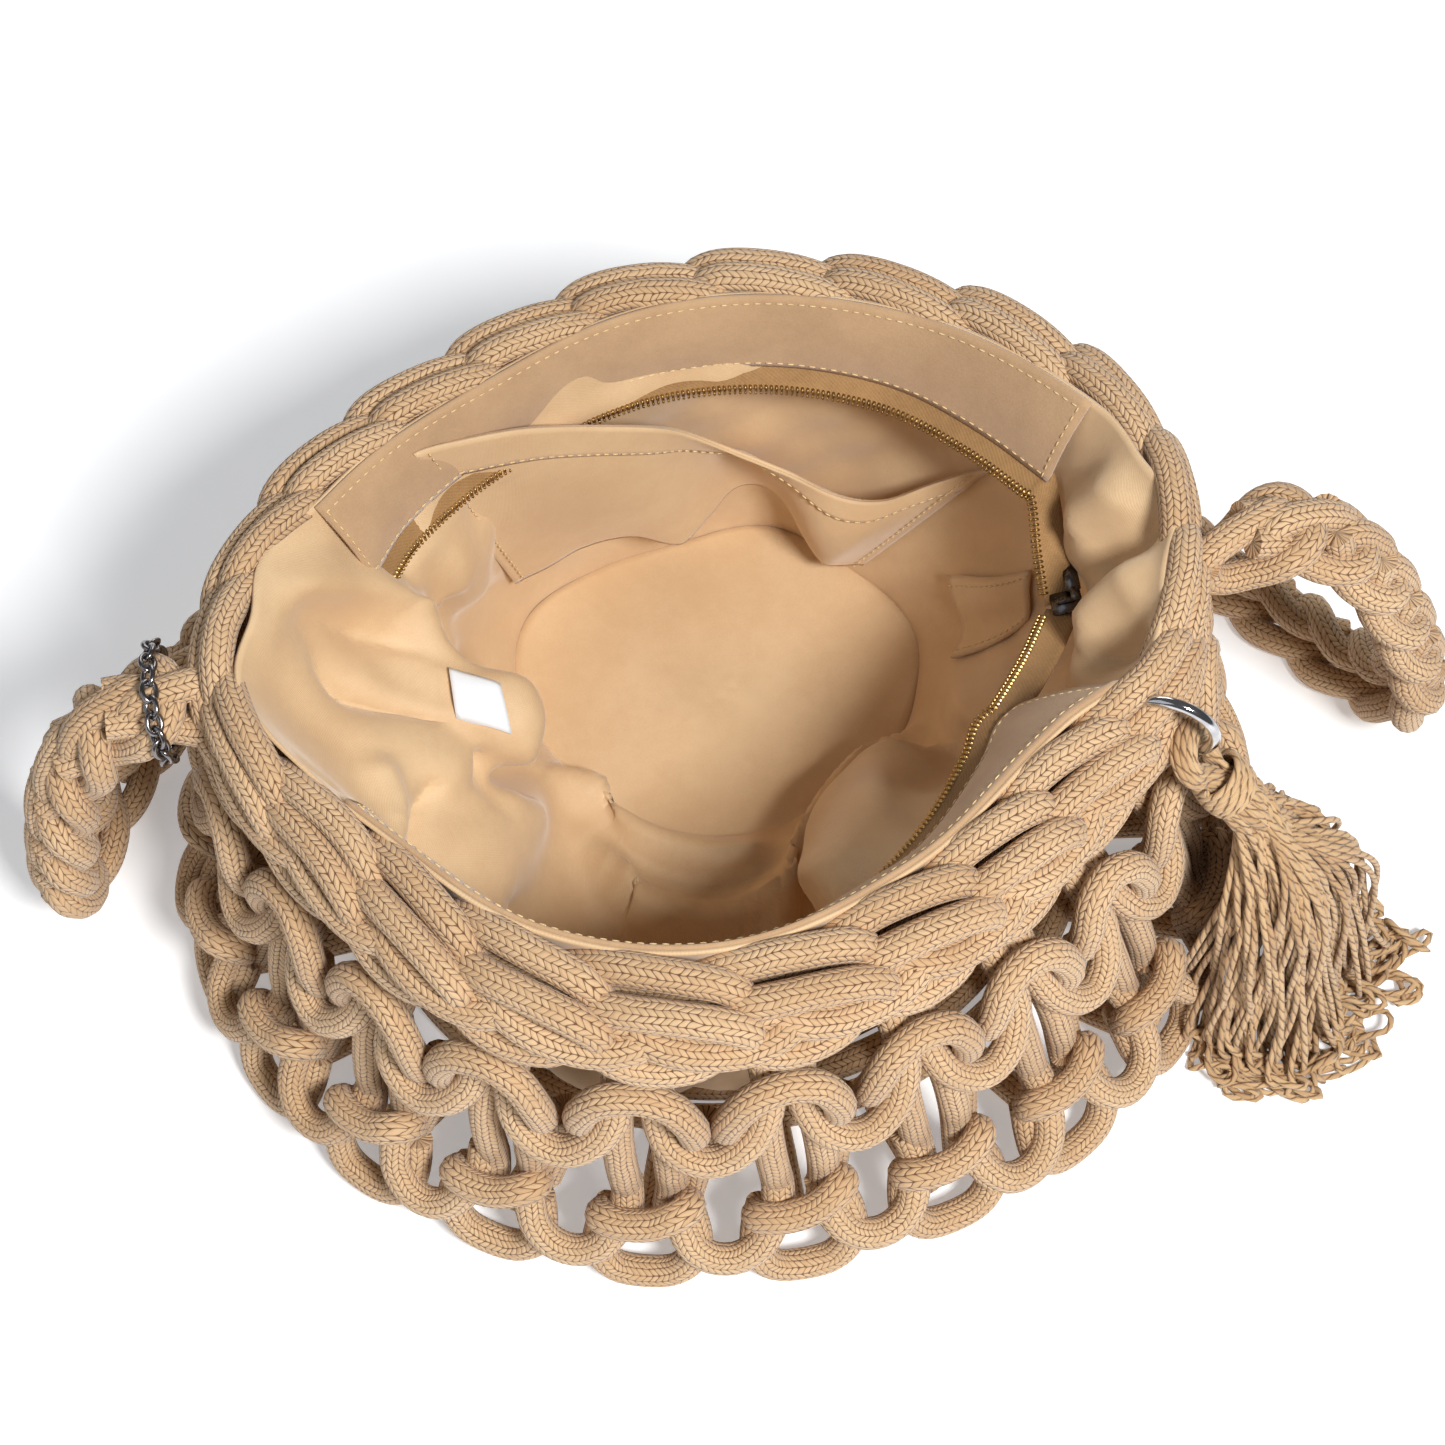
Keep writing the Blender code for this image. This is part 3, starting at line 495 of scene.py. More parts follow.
rim_strands = []
for stitch in range(COLUMNS):
    for shape in (INNER_LEG, OUTER_LEG, HOOKED_STRAND, LOWER_STRAND):
        rim_strands.append(lay(rim_laid(shape, stitch), RIM_ROPE))
ring = np.arange(0, COLUMNS, 0.5)
for across, up in CORE_RINGS:
    round_the_rim = np.stack([ring, np.full(len(ring), across), np.full(len(ring), up)], -1)
    rim_strands.append(lay(rim_laid(round_the_rim, 0), RIM_ROPE, closed=True))
rim = ropes("crocheted_rim", rim_strands, RIM_ROPE, 14, rope_finish)
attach(rim, "root")
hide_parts("rope_rim")


# Net wall: the same rope in open crochet. In each column an arch hooks into the bowls beside it, posts go
# down from them behind a bar, and a hanging loop and a scallop close the column on the floor.
FOOT_HALF_X, FOOT_HALF_Y, NET_COLLAR = 0.172, 0.147, 0.004
# Columns: rows down from the rim, way out to the foot and height above it, both as shares
NET_WALL = np.array([
    (0.0, 0.00, 1.00), (0.5, 0.30, 0.86), (1.0, 0.44, 0.68), (1.5, 0.55, 0.50), (2.0, 0.70, 0.33),
    (2.5, 0.90, 0.15), (3.0, 1.00, 0.00),
])


def net_surface(column, place):
    """Points of the net's middle surface: columns round it and rows down from the rim."""
    direction = np.asarray(column, float) * 360 / COLUMNS
    turn = np.radians(direction)
    top = mouth(direction, RIM_WIDE / 2, RIM_TALL + NET_COLLAR)
    foot = np.stack([
        FOOT_HALF_X * np.cos(turn), FOOT_HALF_Y * np.sin(turn), np.full_like(turn, NET_COLLAR),
    ], -1)
    out, high = read(NET_WALL, 1, place), read(NET_WALL, 2, place)
    point = top + (foot - top) * out[..., None]
    point[..., 2] = foot[..., 2] + (top[..., 2] - foot[..., 2]) * high
    return point


def net_at(column, place, out):
    """Points by the net's middle surface: columns round it, rows down from the rim, millimetres outward."""
    column, place = np.asarray(column, float), np.maximum(np.asarray(place, float), 0)
    across = net_surface(column + 0.05, place) - net_surface(column - 0.05, place)
    down = net_surface(column, np.minimum(place + 0.1, 3)) - net_surface(column, np.minimum(place, 2.9) - 0.1)
    normal = unit(np.cross(down, across))
    point = net_surface(column, np.minimum(place, 3)) + normal * (np.asarray(out) / 1000)[..., None]
    point += outward(column * 360 / COLUMNS) * (np.maximum(place - 3, 0) * 0.03)[..., None]
    point[..., 2] = np.maximum(point[..., 2], ROPE / 2)
    return point


NET_START = 0.53
# Columns of the next seven: stitches round the net, rows down from the rim, and millimetres outward
ARCH = np.array([
    (-0.36, 1.12, -3.5), (-0.39, 0.98, 0.5), (-0.36, 0.75, 3.8), (-0.23, 0.54, 5.2), (0.00, 0.47, 5.8),
    (0.21, 0.54, 5.8), (0.34, 0.76, 4.8), (0.375, 1.00, 1.6), (0.35, 1.14, -3.5),
])
BOWL = np.array([
    (0.14, 0.00, -8.0), (0.11, 0.32, -6.6), (0.10, 0.62, -5.0), (0.10, 0.88, -2.0), (0.19, 1.13, 2.0),
    (0.36, 1.29, 4.0), (0.54, 1.31, 4.4), (0.72, 1.16, 3.4), (0.83, 0.96, 0.8), (0.86, 0.76, -2.2),
    (0.85, 0.54, -5.0), (0.84, 0.30, -6.6), (0.80, 0.00, -8.0),
])
POSTS = (
    np.array([
        (-0.12, 0.86, -4.0), (-0.12, 1.12, -2.4), (-0.10, 1.42, -1.4), (-0.07, 1.72, -2.4),
        (-0.04, 1.98, -4.6), (-0.02, 2.26, -6.0),
    ]),
    np.array([
        (0.20, 1.16, -4.0), (0.23, 1.42, -2.4), (0.25, 1.70, -2.8), (0.26, 1.96, -4.8), (0.24, 2.26, -6.4),
    ]),
    np.array([(0.46, 1.16, -6.5), (0.45, 1.50, -8.5), (0.40, 1.86, -9.0), (0.34, 2.20, -9.0)]),
)
BAR = np.array([
    (-0.17, 2.28, -5.5), (-0.21, 2.16, -0.6), (-0.18, 2.07, 4.0), (-0.04, 2.06, 6.0), (0.14, 2.03, 6.4),
    (0.31, 1.94, 5.2), (0.36, 1.98, 1.4), (0.34, 2.12, -4.5),
])
HANGING = np.array([
    (0.26, 2.00, -2.8), (0.28, 2.20, -0.8), (0.36, 2.42, 2.0), (0.50, 2.56, 3.4), (0.66, 2.57, 3.6),
    (0.81, 2.44, 2.6), (0.90, 2.22, 0.4), (0.93, 2.04, -2.6), (0.92, 1.88, -5.0),
])
SCALLOP = np.array([
    (-0.16, 2.20, -5.0), (-0.21, 2.42, -3.0), (-0.21, 2.66, -1.0), (-0.10, 2.86, 0.2), (0.09, 2.92, 0.4),
    (0.28, 2.86, 0.2), (0.40, 2.66, -1.0), (0.41, 2.42, -3.0), (0.36, 2.20, -5.0),
])
CLOSING_RING_ROW, CLOSING_RING_OUT = 0.20, -4.0
LOOSE_COLUMN, LOOSE_TALL, LOOSE_SLANT, LOOSE_OUT = 0.018, 0.05, 0.10, 0.4
chance = np.random.default_rng(7)
net_strands = []
for stitch in range(COLUMNS):
    for shape in (ARCH, BOWL, *POSTS, BAR, HANGING, SCALLOP):
        loose = chance.normal(0, 1, 4)
        column = shape[:, 0] + stitch + NET_START + loose[0] * LOOSE_COLUMN
        middle = shape[:, 1].mean()
        place = middle + (shape[:, 1] - middle) * (1 + loose[1] * LOOSE_TALL)
        place += (shape[:, 0] - shape[:, 0].mean()) * loose[2] * LOOSE_SLANT
        net_strands.append(lay(net_at(column, place, shape[:, 2] + loose[3] * LOOSE_OUT), ROPE))
closing_ring = net_at(ring, np.full(len(ring), CLOSING_RING_ROW), np.full(len(ring), CLOSING_RING_OUT))
net_strands.append(lay(closing_ring, ROPE, closed=True))
net = ropes("crocheted_net", net_strands, ROPE, 12, rope_finish)
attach(net, "root")
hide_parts("rope_net")


# Base: the rope worked on in a flat oval coil inside the net's foot, lying on the floor, and tied to the
# net's lowest row by short spokes.
BASE_TURNS, BASE_SHARE, SPOKE_SHIFT = 9.5, 0.72, 0.07
SPOKE_REACH, SPOKE_HIGH = np.array([0.70, 0.76, 0.84, 0.92]), ROPE * np.array([0.5, 0.62, 0.62, 0.8])
coil_turns = np.linspace(0.35, BASE_TURNS, round(BASE_TURNS * 16))
coil = np.stack([
    FOOT_HALF_X * BASE_SHARE * coil_turns / BASE_TURNS * np.cos(coil_turns * math.tau),
    FOOT_HALF_Y * BASE_SHARE * coil_turns / BASE_TURNS * np.sin(coil_turns * math.tau),
    np.full_like(coil_turns, ROPE / 2),
], -1)
base_strands = [lay(coil, ROPE, 0.003)]
for spoke in range(COLUMNS):
    turn = math.radians((spoke + NET_START + SPOKE_SHIFT) * 360 / COLUMNS)
    base_strands.append(lay(np.stack([
        FOOT_HALF_X * SPOKE_REACH * math.cos(turn), FOOT_HALF_Y * SPOKE_REACH * math.sin(turn), SPOKE_HIGH,
    ], -1), ROPE))
base = ropes("crocheted_base", base_strands, ROPE, 10, rope_finish)
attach(base, "root")
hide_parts("rope_base")


# Lining: one tube of satin-faced twill with a flat floor, sewn inside the rim all round. It is longer than
# the net is deep, so it slumps in soft folds, and gathers into a ruffle at both ends of the mouth.
CLOTH = 0.0012
FLOOR_HALF_X, FLOOR_HALF_Y, FLOOR_SHIFT_X, FLOOR_SHIFT_Y, FLOOR_HIGH = 0.066, 0.056, 0.008, 0.055, 0.0109
LINING_INSET, RUFFLE, RUFFLE_DEEP, RUFFLE_WAVES = 0.0281, 0.0034, 0.5, 14
# Columns: direction in degrees, and the floor's reach as a share of the plain oval's
FLOOR_REACH = np.array([
    (15, 1.08), (45, 1.06), (70, 1.16), (95, 1.05), (119, 1.07), (146, 1.14), (186, 0.99), (225, 0.96),
    (270, 0.92), (315, 1.00), (338, 1.03),
])
# Columns: depth as a share, way in to the floor's edge, and billow outward
LINING = np.array([
    (0.00, 0.00, 0.000), (0.12, 0.00, 0.000), (0.24, 0.01, 0.012), (0.36, 0.04, 0.055), (0.48, 0.12, 0.060),
    (0.60, 0.27, 0.050), (0.72, 0.48, 0.035), (0.86, 0.76, 0.015), (1.00, 1.00, 0.000),
])
# Columns: direction and depth of a fold's middle, its push inward, its width in degrees and its height
FOLDS = np.array([
    (176, 0.50, 0.42, 27, 0.20), (212, 0.66, 0.18, 14, 0.20), (262, 0.78, -0.28, 34, 0.17),
    (307, 0.56, 0.27, 20, 0.22), (350, 0.60, 0.16, 14, 0.24), (136, 0.46, 0.10, 10, 0.24),
    (22, 0.56, 0.08, 10, 0.24), (8, 0.24, 0.05, 20, 0.13),
])
HOLLOW_DEEP = 0.032
# Columns: direction, the lip's inset from the mouth's outline and its rise, in millimetres
LIP = np.array([
    (0, 11, 1.5), (18, 14, 1.5), (34, 20, 0.5), (60, 21, 0), (90, 21, 0), (120, 21, 0), (148, 20, 0.5),
    (164, 16, 1.5), (180, 14, 2.0), (198, 15, 1.5), (214, 21, 0.5), (240, 24, 0), (270, 24, 0), (300, 24, 0),
    (326, 22, 0.5), (342, 14, 1.5),
])
LIP_FADE = 0.32
# Each crease: height and width in millimetres, how sharp its sides are, and its route by direction and depth
CREASES = (
    (-7.0, 4.0, 1.0, ((170, 0.20), (175, 0.28), (175.5, 0.37), (191.5, 0.51), (207.5, 0.58))),
    (6.0, 8.0, 2.0, ((152, 0.34), (159, 0.41), (167.5, 0.48), (184, 0.54), (202, 0.62))),
    (-4.0, 4.0, 1.2, ((164, 0.20), (159, 0.33), (160, 0.39), (167.5, 0.465))),
    (-7.0, 10.0, 2.0, ((146, 0.47), (150, 0.56), (160, 0.62))),
    (7.0, 9.0, 2.0, ((176, 0.00), (165, 0.05), (155, 0.20), (150, 0.36), (156, 0.43))),
    (-5.0, 3.0, 1.0, ((194, 0.42), (200, 0.40), (210, 0.34))),
    (4.0, 7.0, 2.0, ((188, 0.30), (198, 0.32), (208, 0.28))),
    (-2.5, 2.5, 1.0, ((196, 0.02), (198, 0.08), (199, 0.16))),
    (-6.0, 6.0, 1.5, ((141, 0.05), (143, 0.15), (146, 0.30))),
    (8.0, 6.0, 1.4, ((204, 0.92), (220, 0.97), (245, 0.98), (268, 0.97), (284, 0.96))),
    (9.0, 7.0, 1.6, ((252, 0.80), (270, 0.86), (288, 0.94), (312, 0.95), (336, 0.92))),
    (-6.0, 6.0, 1.5, ((262, 0.72), (280, 0.80), (300, 0.84))),
    (-10.0, 14.0, 2.0, ((222, 0.66), (240, 0.70), (262, 0.62))),
    (12.0, 13.0, 2.0, ((286, 0.40), (296, 0.60), (312, 0.74), (334, 0.80))),
    (5.0, 9.0, 2.0, ((14, 0.02), (16, 0.12), (18, 0.24))),
    (-4.0, 5.0, 1.4, ((7, 0.03), (5, 0.12), (9, 0.22))),
    (5.0, 8.0, 2.0, ((-4, 0.02), (-2, 0.12), (-6, 0.26))),
    (-4.0, 5.0, 1.4, ((-12, 0.03), (-13, 0.12), (-9, 0.24))),
    (2.6, 8.0, 2.0, ((72, 0.26), (90, 0.25), (106, 0.25), (122, 0.27))),
    (11.0, 7.0, 2.0, ((228, 0.92), (246, 0.91), (266, 0.91), (290, 0.92))),
)
CREASE_RISE = 1.55
# Each faint wave of the cloth: millimetres high, waves round the bag, waves down it, and where it starts
SWELLS = ((0.9, 7, 9, 0.4), (0.8, 11, -14, 1.9), (0.7, 17, 21, 4.1), (0.5, 26, -30, 2.6))
TURN_STEP, DEPTH_STEPS = 1.25, 72
DIRECTIONS = np.arange(0, 360, TURN_STEP)
DEPTHS = np.linspace(0, 1, DEPTH_STEPS + 1)


def lining_base(direction, depth):
    """The lining without its creases: degrees round the bag, and down from the lip (0) to the floor (1)."""
    direction, depth = np.broadcast_arrays(np.asarray(direction, float), np.asarray(depth, float))
    turn, out = np.radians(direction), outward(direction)
    top = mouth(direction, np.full(direction.shape, LINING_INSET), 0.1 * RIM_TALL)
    reach = read(FLOOR_REACH, 1, direction, 360)
    floor = np.stack([
        FLOOR_SHIFT_X + FLOOR_HALF_X * reach * np.cos(turn),
        FLOOR_SHIFT_Y + FLOOR_HALF_Y * reach * np.sin(turn), np.full_like(turn, FLOOR_HIGH),
    ], -1)
    point = top + (floor - top) * read(LINING, 1, depth)[..., None]
    point[..., 2] = top[..., 2] + (floor[..., 2] - top[..., 2]) * depth
    push = np.zeros_like(turn)
    for at, deep, amount, wide, tall in FOLDS:
        fold = np.exp(-(((direction - at + 180) % 360 - 180) / wide) ** 2 - ((depth - deep) / tall) ** 2)
        push += amount * fold
        if amount < 0:
            point[..., 2] = np.maximum(point[..., 2] - HOLLOW_DEEP * fold, FLOOR_HIGH)
    push *= np.minimum(1, depth / 0.3) * MOUTH_HALF_X
    lip = np.clip(1 - depth / LIP_FADE, 0, 1) ** 1.6
    outer = (LINING_INSET - read(LIP, 1, direction, 360) / 1000) * lip
    ends = np.exp(-(((direction + 90) % 180 - 90) / 24) ** 2)
    ruffle = RUFFLE * ends * np.clip(1 - depth / RUFFLE_DEEP, 0, 1)
    ruffle *= np.sin(np.radians(direction * RUFFLE_WAVES)) * (0.7 + 0.3 * np.sin(turn * 9))
    point = point + out * (read(LINING, 2, depth) * MOUTH_HALF_X - push + outer + ruffle)[..., None]
    point[..., 2] += read(LIP, 2, direction, 360) / 1000 * lip
    return point


def into_bag(grid):
    """The direction into the bag at each point of the lining's grid."""
    along = np.roll(grid, -1, 1) - np.roll(grid, 1, 1)
    normal = np.cross(along, np.gradient(grid, axis=0))
    normal /= np.maximum(np.linalg.norm(normal, axis=-1, keepdims=True), 1e-9)
    upper_row = normal[20]
    return -normal if np.mean(np.sum(upper_row * outward(DIRECTIONS), -1)) > 0 else normal


base_grid = lining_base(DIRECTIONS[None, :], DEPTHS[:, None])
inward = into_bag(base_grid)
lining_grid = base_grid.copy()
for height, width, power, route in CREASES:
    route = np.array(route, float)
    line = smooth(lining_base(route[:, 0], route[:, 1]), fine=12)
    gap = np.linalg.norm(base_grid[:, :, None, :] - line[None, None, :, :], axis=-1)
    nearest = gap.argmin(-1)
    at = nearest / (len(line) - 1)
    fade = np.clip(np.minimum(at, 1 - at) / 0.25 + 0.15, 0, 1)
    reach = np.exp(-(gap.min(-1) / (width / 1000)) ** power)
    raised = CREASE_RISE * height / 1000 * reach * fade * np.minimum(1, DEPTHS[:, None] / 0.08)
    lining_grid += inward * raised[..., None]
swell = sum(
    size * np.sin(np.radians(DIRECTIONS[None, :]) * waves + DEPTHS[:, None] * drop + phase)
    for size, waves, drop, phase in SWELLS
)
lining_grid += inward * (swell / 1000 * np.sin(np.pi * DEPTHS)[:, None])[..., None]
lining_grid[..., 2] = np.maximum(lining_grid[..., 2], FLOOR_HIGH)
inward = into_bag(lining_grid)


def on_lining(direction, depth, off):
    """Points on the folded lining, off millimetres into the bag."""
    direction = np.asarray(direction, float) % 360 / TURN_STEP
    depth = np.clip(np.asarray(depth, float), 0, 1) * DEPTH_STEPS
    left, top = np.floor(direction).astype(int), np.minimum(np.floor(depth).astype(int), DEPTH_STEPS - 1)
    across, down = (direction - left)[..., None], (depth - top)[..., None]
    size = len(DIRECTIONS)

    def mix(grid):
        upper = grid[top, left % size] * (1 - across) + grid[top, (left + 1) % size] * across
        lower = grid[top + 1, left % size] * (1 - across) + grid[top + 1, (left + 1) % size] * across
        return upper * (1 - down) + lower * down

    return mix(lining_grid) + unit(mix(inward)) * (np.asarray(off, float) / 1000)[..., None]


def cloth(name, grid, thickness, material, closed=False, middle=None, seam=None):
    """A sheet through rows of points, with UVs in metres across and down it, and its thickness by Solidify.

    Its flat size, the longest row by the longest column, is worked out but kept nowhere, and seam is a row
    that is sewn to a sharp edge.
    """
    grid = np.asarray(grid, float)
    rows, columns = grid.shape[:2]
    mesh = bpy.data.meshes.new(name)
    first_row = np.arange(columns if closed else columns - 1)
    faces = []
    for row in range(rows - 1):
        near, far = row * columns + first_row, row * columns + (first_row + 1) % columns
        faces += np.stack([near, near + columns, far + columns, far], -1).tolist()
    points = grid.reshape(-1, 3)
    if middle is not None:
        points = np.concatenate([points, [middle]])
        last = (rows - 1) * columns
        faces += [(last + k, rows * columns, last + (k + 1) % columns) for k in range(columns)]
    mesh.from_pydata(points.tolist(), [], faces)
    step_u = np.linalg.norm(np.diff(grid, axis=1), axis=-1).mean(0)
    u = np.concatenate([[0], np.cumsum(step_u)])
    v = np.concatenate([[0], np.cumsum(np.linalg.norm(np.diff(grid, axis=0), axis=-1).mean(1))])
    u_at, v_at = np.tile(u, rows), np.repeat(v, columns)
    if middle is not None:
        u_at, v_at = np.append(u_at, u.mean()), np.append(v_at, v[-1] + 0.03)
    corner = np.zeros(len(mesh.loops), np.int32)
    mesh.loops.foreach_get("vertex_index", corner)
    layer = mesh.uv_layers.new(name="UVMap")
    spread = np.stack([u_at[corner], v_at[corner]], -1)
    if closed:
        width = u[-1] + step_u[-1]
        starts = np.zeros(len(mesh.polygons), np.int32)
        mesh.polygons.foreach_get("loop_start", starts)
        totals = np.zeros(len(mesh.polygons), np.int32)
        mesh.polygons.foreach_get("loop_total", totals)
        for start, total in zip(starts, totals):
            part = spread[start:start + total, 0]
            if part.max() - part.min() > width / 2:
                part[part < width / 2] += width
    layer.data.foreach_set("uv", spread.astype(np.float32).ravel())
    mesh.materials.append(material)
    mesh.shade_smooth()
    if seam is not None:
        for edge in mesh.edges:
            edge.use_edge_sharp = all(seam * columns <= v < (seam + 1) * columns for v in edge.vertices)
    piece = link_new(name, mesh)
    wall = piece.modifiers.new("Wall", "SOLIDIFY")
    wall.thickness, wall.offset, wall.use_even_offset = thickness, 0, False
    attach(piece, "root")
    across = np.roll(grid, -1, 1) - grid if closed else np.diff(grid, axis=1)
    wide = np.linalg.norm(across, axis=-1).sum(1).max()
    long = np.linalg.norm(np.diff(grid, axis=0), axis=-1).sum(0).max()
    area = min(sum(face.area for face in mesh.polygons), float(wide * long))
    return piece


def woven(name, lit, deep, thread, relief, roughness, sheen=0.3):
    """Fine twill: slanted thread lines, a soft nap and faint uneven colour."""
    material, shader, w = finish(name, roughness, sheen_weight=sheen, sheen_roughness=0.45)
    place = w.put("ShaderNodeTexCoord", out="Object")
    flat = w.put("ShaderNodeSeparateXYZ", {}, {0: place.of("UV")})
    lines = ((flat.of("X") * 0.7 + flat.of("Y")) * (math.tau / thread)).sum("SINE") * 0.5 + 0.5
    threads = ((flat.of("X") * 0.9 - flat.of("Y") * 0.35) * (math.tau / thread * 1.7)).sum("SINE") * 0.5 + 0.5
    nap, cloud, fleck = place.noise(1400.0, 3.0), place.noise(22.0, 4.0, 0.6), place.noise(300.0)
    shade = cloud * 0.75 + nap * 0.22 + fleck * 0.13 - lines * 0.06
    colour = shade.between(0.35, 0.72).blend(deep, lit)
    normal = (lines * 0.5 + threads * 0.3 + nap * 0.5).bump(0.5, relief)
    return wear(material, shader, base_color=colour, normal=normal, roughness=roughness + cloud * 0.12 - 0.06)


TWILL_LIT, TWILL_DEEP = tint(223, 193, 153), tint(211, 177, 136)
twill = woven("tan satin twill", TWILL_LIT, TWILL_DEEP, 0.0007, 0.00014, 0.6)
FLOOR_RINGS, FLOOR_RIPPLE = (0.985, 0.95, 0.88, 0.78, 0.66, 0.54, 0.42, 0.30, 0.19, 0.09), 0.0006
floor_middle = np.array([FLOOR_SHIFT_X, FLOOR_SHIFT_Y, 0])
floor_rows = []
for share in FLOOR_RINGS:
    oval = (lining_grid[-1] - floor_middle) * [share, share, 1] + floor_middle
    oval[:, 2] = FLOOR_HIGH + FLOOR_RIPPLE * (np.sin(oval[:, 0] * 90) * np.sin(oval[:, 1] * 70 + 1) + 1)
    floor_rows.append(oval)
lining = cloth(
    "twill_lining", np.concatenate([lining_grid, floor_rows]), CLOTH, twill, closed=True,
    middle=(FLOOR_SHIFT_X, FLOOR_SHIFT_Y, FLOOR_HIGH + FLOOR_RIPPLE), seam=len(lining_grid) - 1,
)
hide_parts("lining")


# Facings: two bands of soft suede-like cloth topstitched inside the mouth, front and back, that carry the
# zip on their lower edges. The front one leans into the opening at its right end.
FACING = 0.0014
# Columns: direction, drop and lean inward as shares of the rim's height, and degrees that the zip tape hangs
BACK_FACING = np.array([
    (28, 1.00, 0.45, 20), (45, 1.00, 0.35, 28), (60, 1.00, 0.22, 35), (90, 1.00, 0.15, 45),
    (120, 1.05, 0.13, 60), (140, 1.05, 0.30, 60), (153, 1.00, 0.50, 60),
])
FRONT_FACING = np.array([
    (207, 0.70, 0.20, 80), (240, 0.75, 0.15, 80), (270, 0.75, 0.20, 70), (300, 0.72, 0.31, 45),
    (320, 0.85, 0.50, 30), (336, 1.00, 0.88, 20),
])


def facing_at(rows, direction, share, off=0.0):
    """Points of a facing: degrees round, down from its top (0) to its lower edge (1), millimetres in."""
    direction, share = np.broadcast_arrays(np.asarray(direction, float), np.asarray(share, float))
    out = outward(direction)
    top = on_lining(direction, np.zeros_like(direction), 0) - out * 0.0012
    top[..., 2] += 0.0004
    low = top - out * (read(rows, 2, direction) * RIM_TALL)[..., None]
    low[..., 2] -= read(rows, 1, direction) * RIM_TALL
    point = top + (low - top) * share[..., None]
    bow = np.sin(np.pi * share) * (0.0016 + 0.0006 * np.sin(np.radians(direction) * 13))
    return point - out * (bow + np.asarray(off, float) / 1000)[..., None]


def suede(name, lit, deep):
    """Suede-like cloth: a dense short nap that is brushed into faint patches."""
    material, shader, w = finish(name, 0.85, sheen_weight=0.35, sheen_roughness=0.6)
    place = w.put("ShaderNodeTexCoord", out="Object")
    nap, brushed = place.noise(1700.0, 4.0, 0.7), place.noise(45.0, 5.0, 0.65)
    pores = w.put("ShaderNodeTexVoronoi", {}, {"Vector": place, "Scale": 900.0})
    colour = (brushed * 0.7 + nap * 0.4).between(0.35, 0.75).blend(deep, lit)
    normal = (nap + pores * 0.5).bump(0.55, 0.0002)
    return wear(material, shader, base_color=colour, normal=normal, roughness=0.78 + brushed * 0.14)


suede_finish = suede("brushed suede cloth", tint(196, 161, 122), tint(178, 143, 106))
for side, rows in (("back", BACK_FACING), ("front", FRONT_FACING)):
    directions = np.arange(rows[0, 0], rows[-1, 0] + 0.1, 1.5)
    grid = facing_at(rows, directions[None, :], np.linspace(0, 1, 14)[:, None])
    band = cloth(f"suede_facing_{side}", grid, FACING, suede_finish)
    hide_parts(f"facing_{side}")


# Zip: brass teeth clamped on brown cloth tapes that are sewn under the facings' lower edges. It stands open,
# both halves running from the dark slider at the right end.
TEETH_PITCH, TEETH_START = 0.00165, 0.004
TAPE, TAPE_WIDE, TEETH_WIDE = 0.0008, 0.0055, 0.0033
SLIDER_SHIFT = [0.006, 0.005, 0]
slider_place = (np.array(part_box("zip_slider")[0]) + np.array(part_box("zip_slider")[1])) / 2 + SLIDER_SHIFT


def repeat_tree():
    """Geometry nodes that set a small part on every point, turned along its ahead and up vectors."""
    tree, add = new_tree("set out parts", Part="Object", Finish="Material")
    given = add("NodeGroupInput")
    part = add("GeometryNodeObjectInfo", {"Object": given["Part"]})
    turned = None
    for name, axis, pivot in (("ahead", "X", "AUTO"), ("up", "Z", "X")):
        vector = add("GeometryNodeInputNamedAttribute", {"Name": name}, data_type="FLOAT_VECTOR")
        sockets = {"Vector": vector["Attribute"], **({"Rotation": turned} if turned else {})}
        align = add("FunctionNodeAlignRotationToVector", sockets, axis=axis, pivot_axis=pivot)
        turned = align["Rotation"]
    place = add("GeometryNodeInstanceOnPoints", {
        "Points": given["Geometry"], "Instance": part["Geometry"], "Rotation": turned,
    })
    real = add("GeometryNodeRealizeInstances", {"Geometry": place["Instances"]})
    even = add("GeometryNodeSetShadeSmooth", {"Geometry": real["Geometry"]})
    paint = add("GeometryNodeSetMaterial", {"Geometry": even["Geometry"], "Material": given["Finish"]})
    add("NodeGroupOutput", {"Geometry": paint["Geometry"]})
    return tree


REPEAT = repeat_tree()


def set_out(name, part_mesh, places, ahead, up, material):
    """One piece of many copies of a small part."""
    carrier = bpy.data.meshes.new(name)
    carrier.from_pydata(np.asarray(places).tolist(), [], [])
    for key, values in (("ahead", ahead), ("up", up)):
        carrier.attributes.new(key, "FLOAT_VECTOR", "POINT").data.foreach_set(
            "vector", np.asarray(values, np.float32).ravel()
        )
    pattern = link_new(name + "_part", part_mesh)
    mesh = run_tree(REPEAT, link_new(name + "_points", carrier), Part=pattern, Finish=material)
    bpy.data.objects.remove(pattern)
    piece = link_new(name, mesh)
    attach(piece, "root")
    return piece


def block(name, boxes, soft):
    """A small part of softened blocks, each given by its size and middle in metres."""
    mesh = bpy.data.meshes.new(name)
    work = bmesh.new()
    for size, middle in boxes:
        bmesh.ops.create_cube(work, size=1, matrix=Matrix.Translation(middle) @ Matrix.Diagonal((*size, 1)))
    bmesh.ops.bevel(work, geom=work.edges[:], offset=soft, segments=2, affect="EDGES")
    work.to_mesh(mesh)
    work.free()
    return mesh


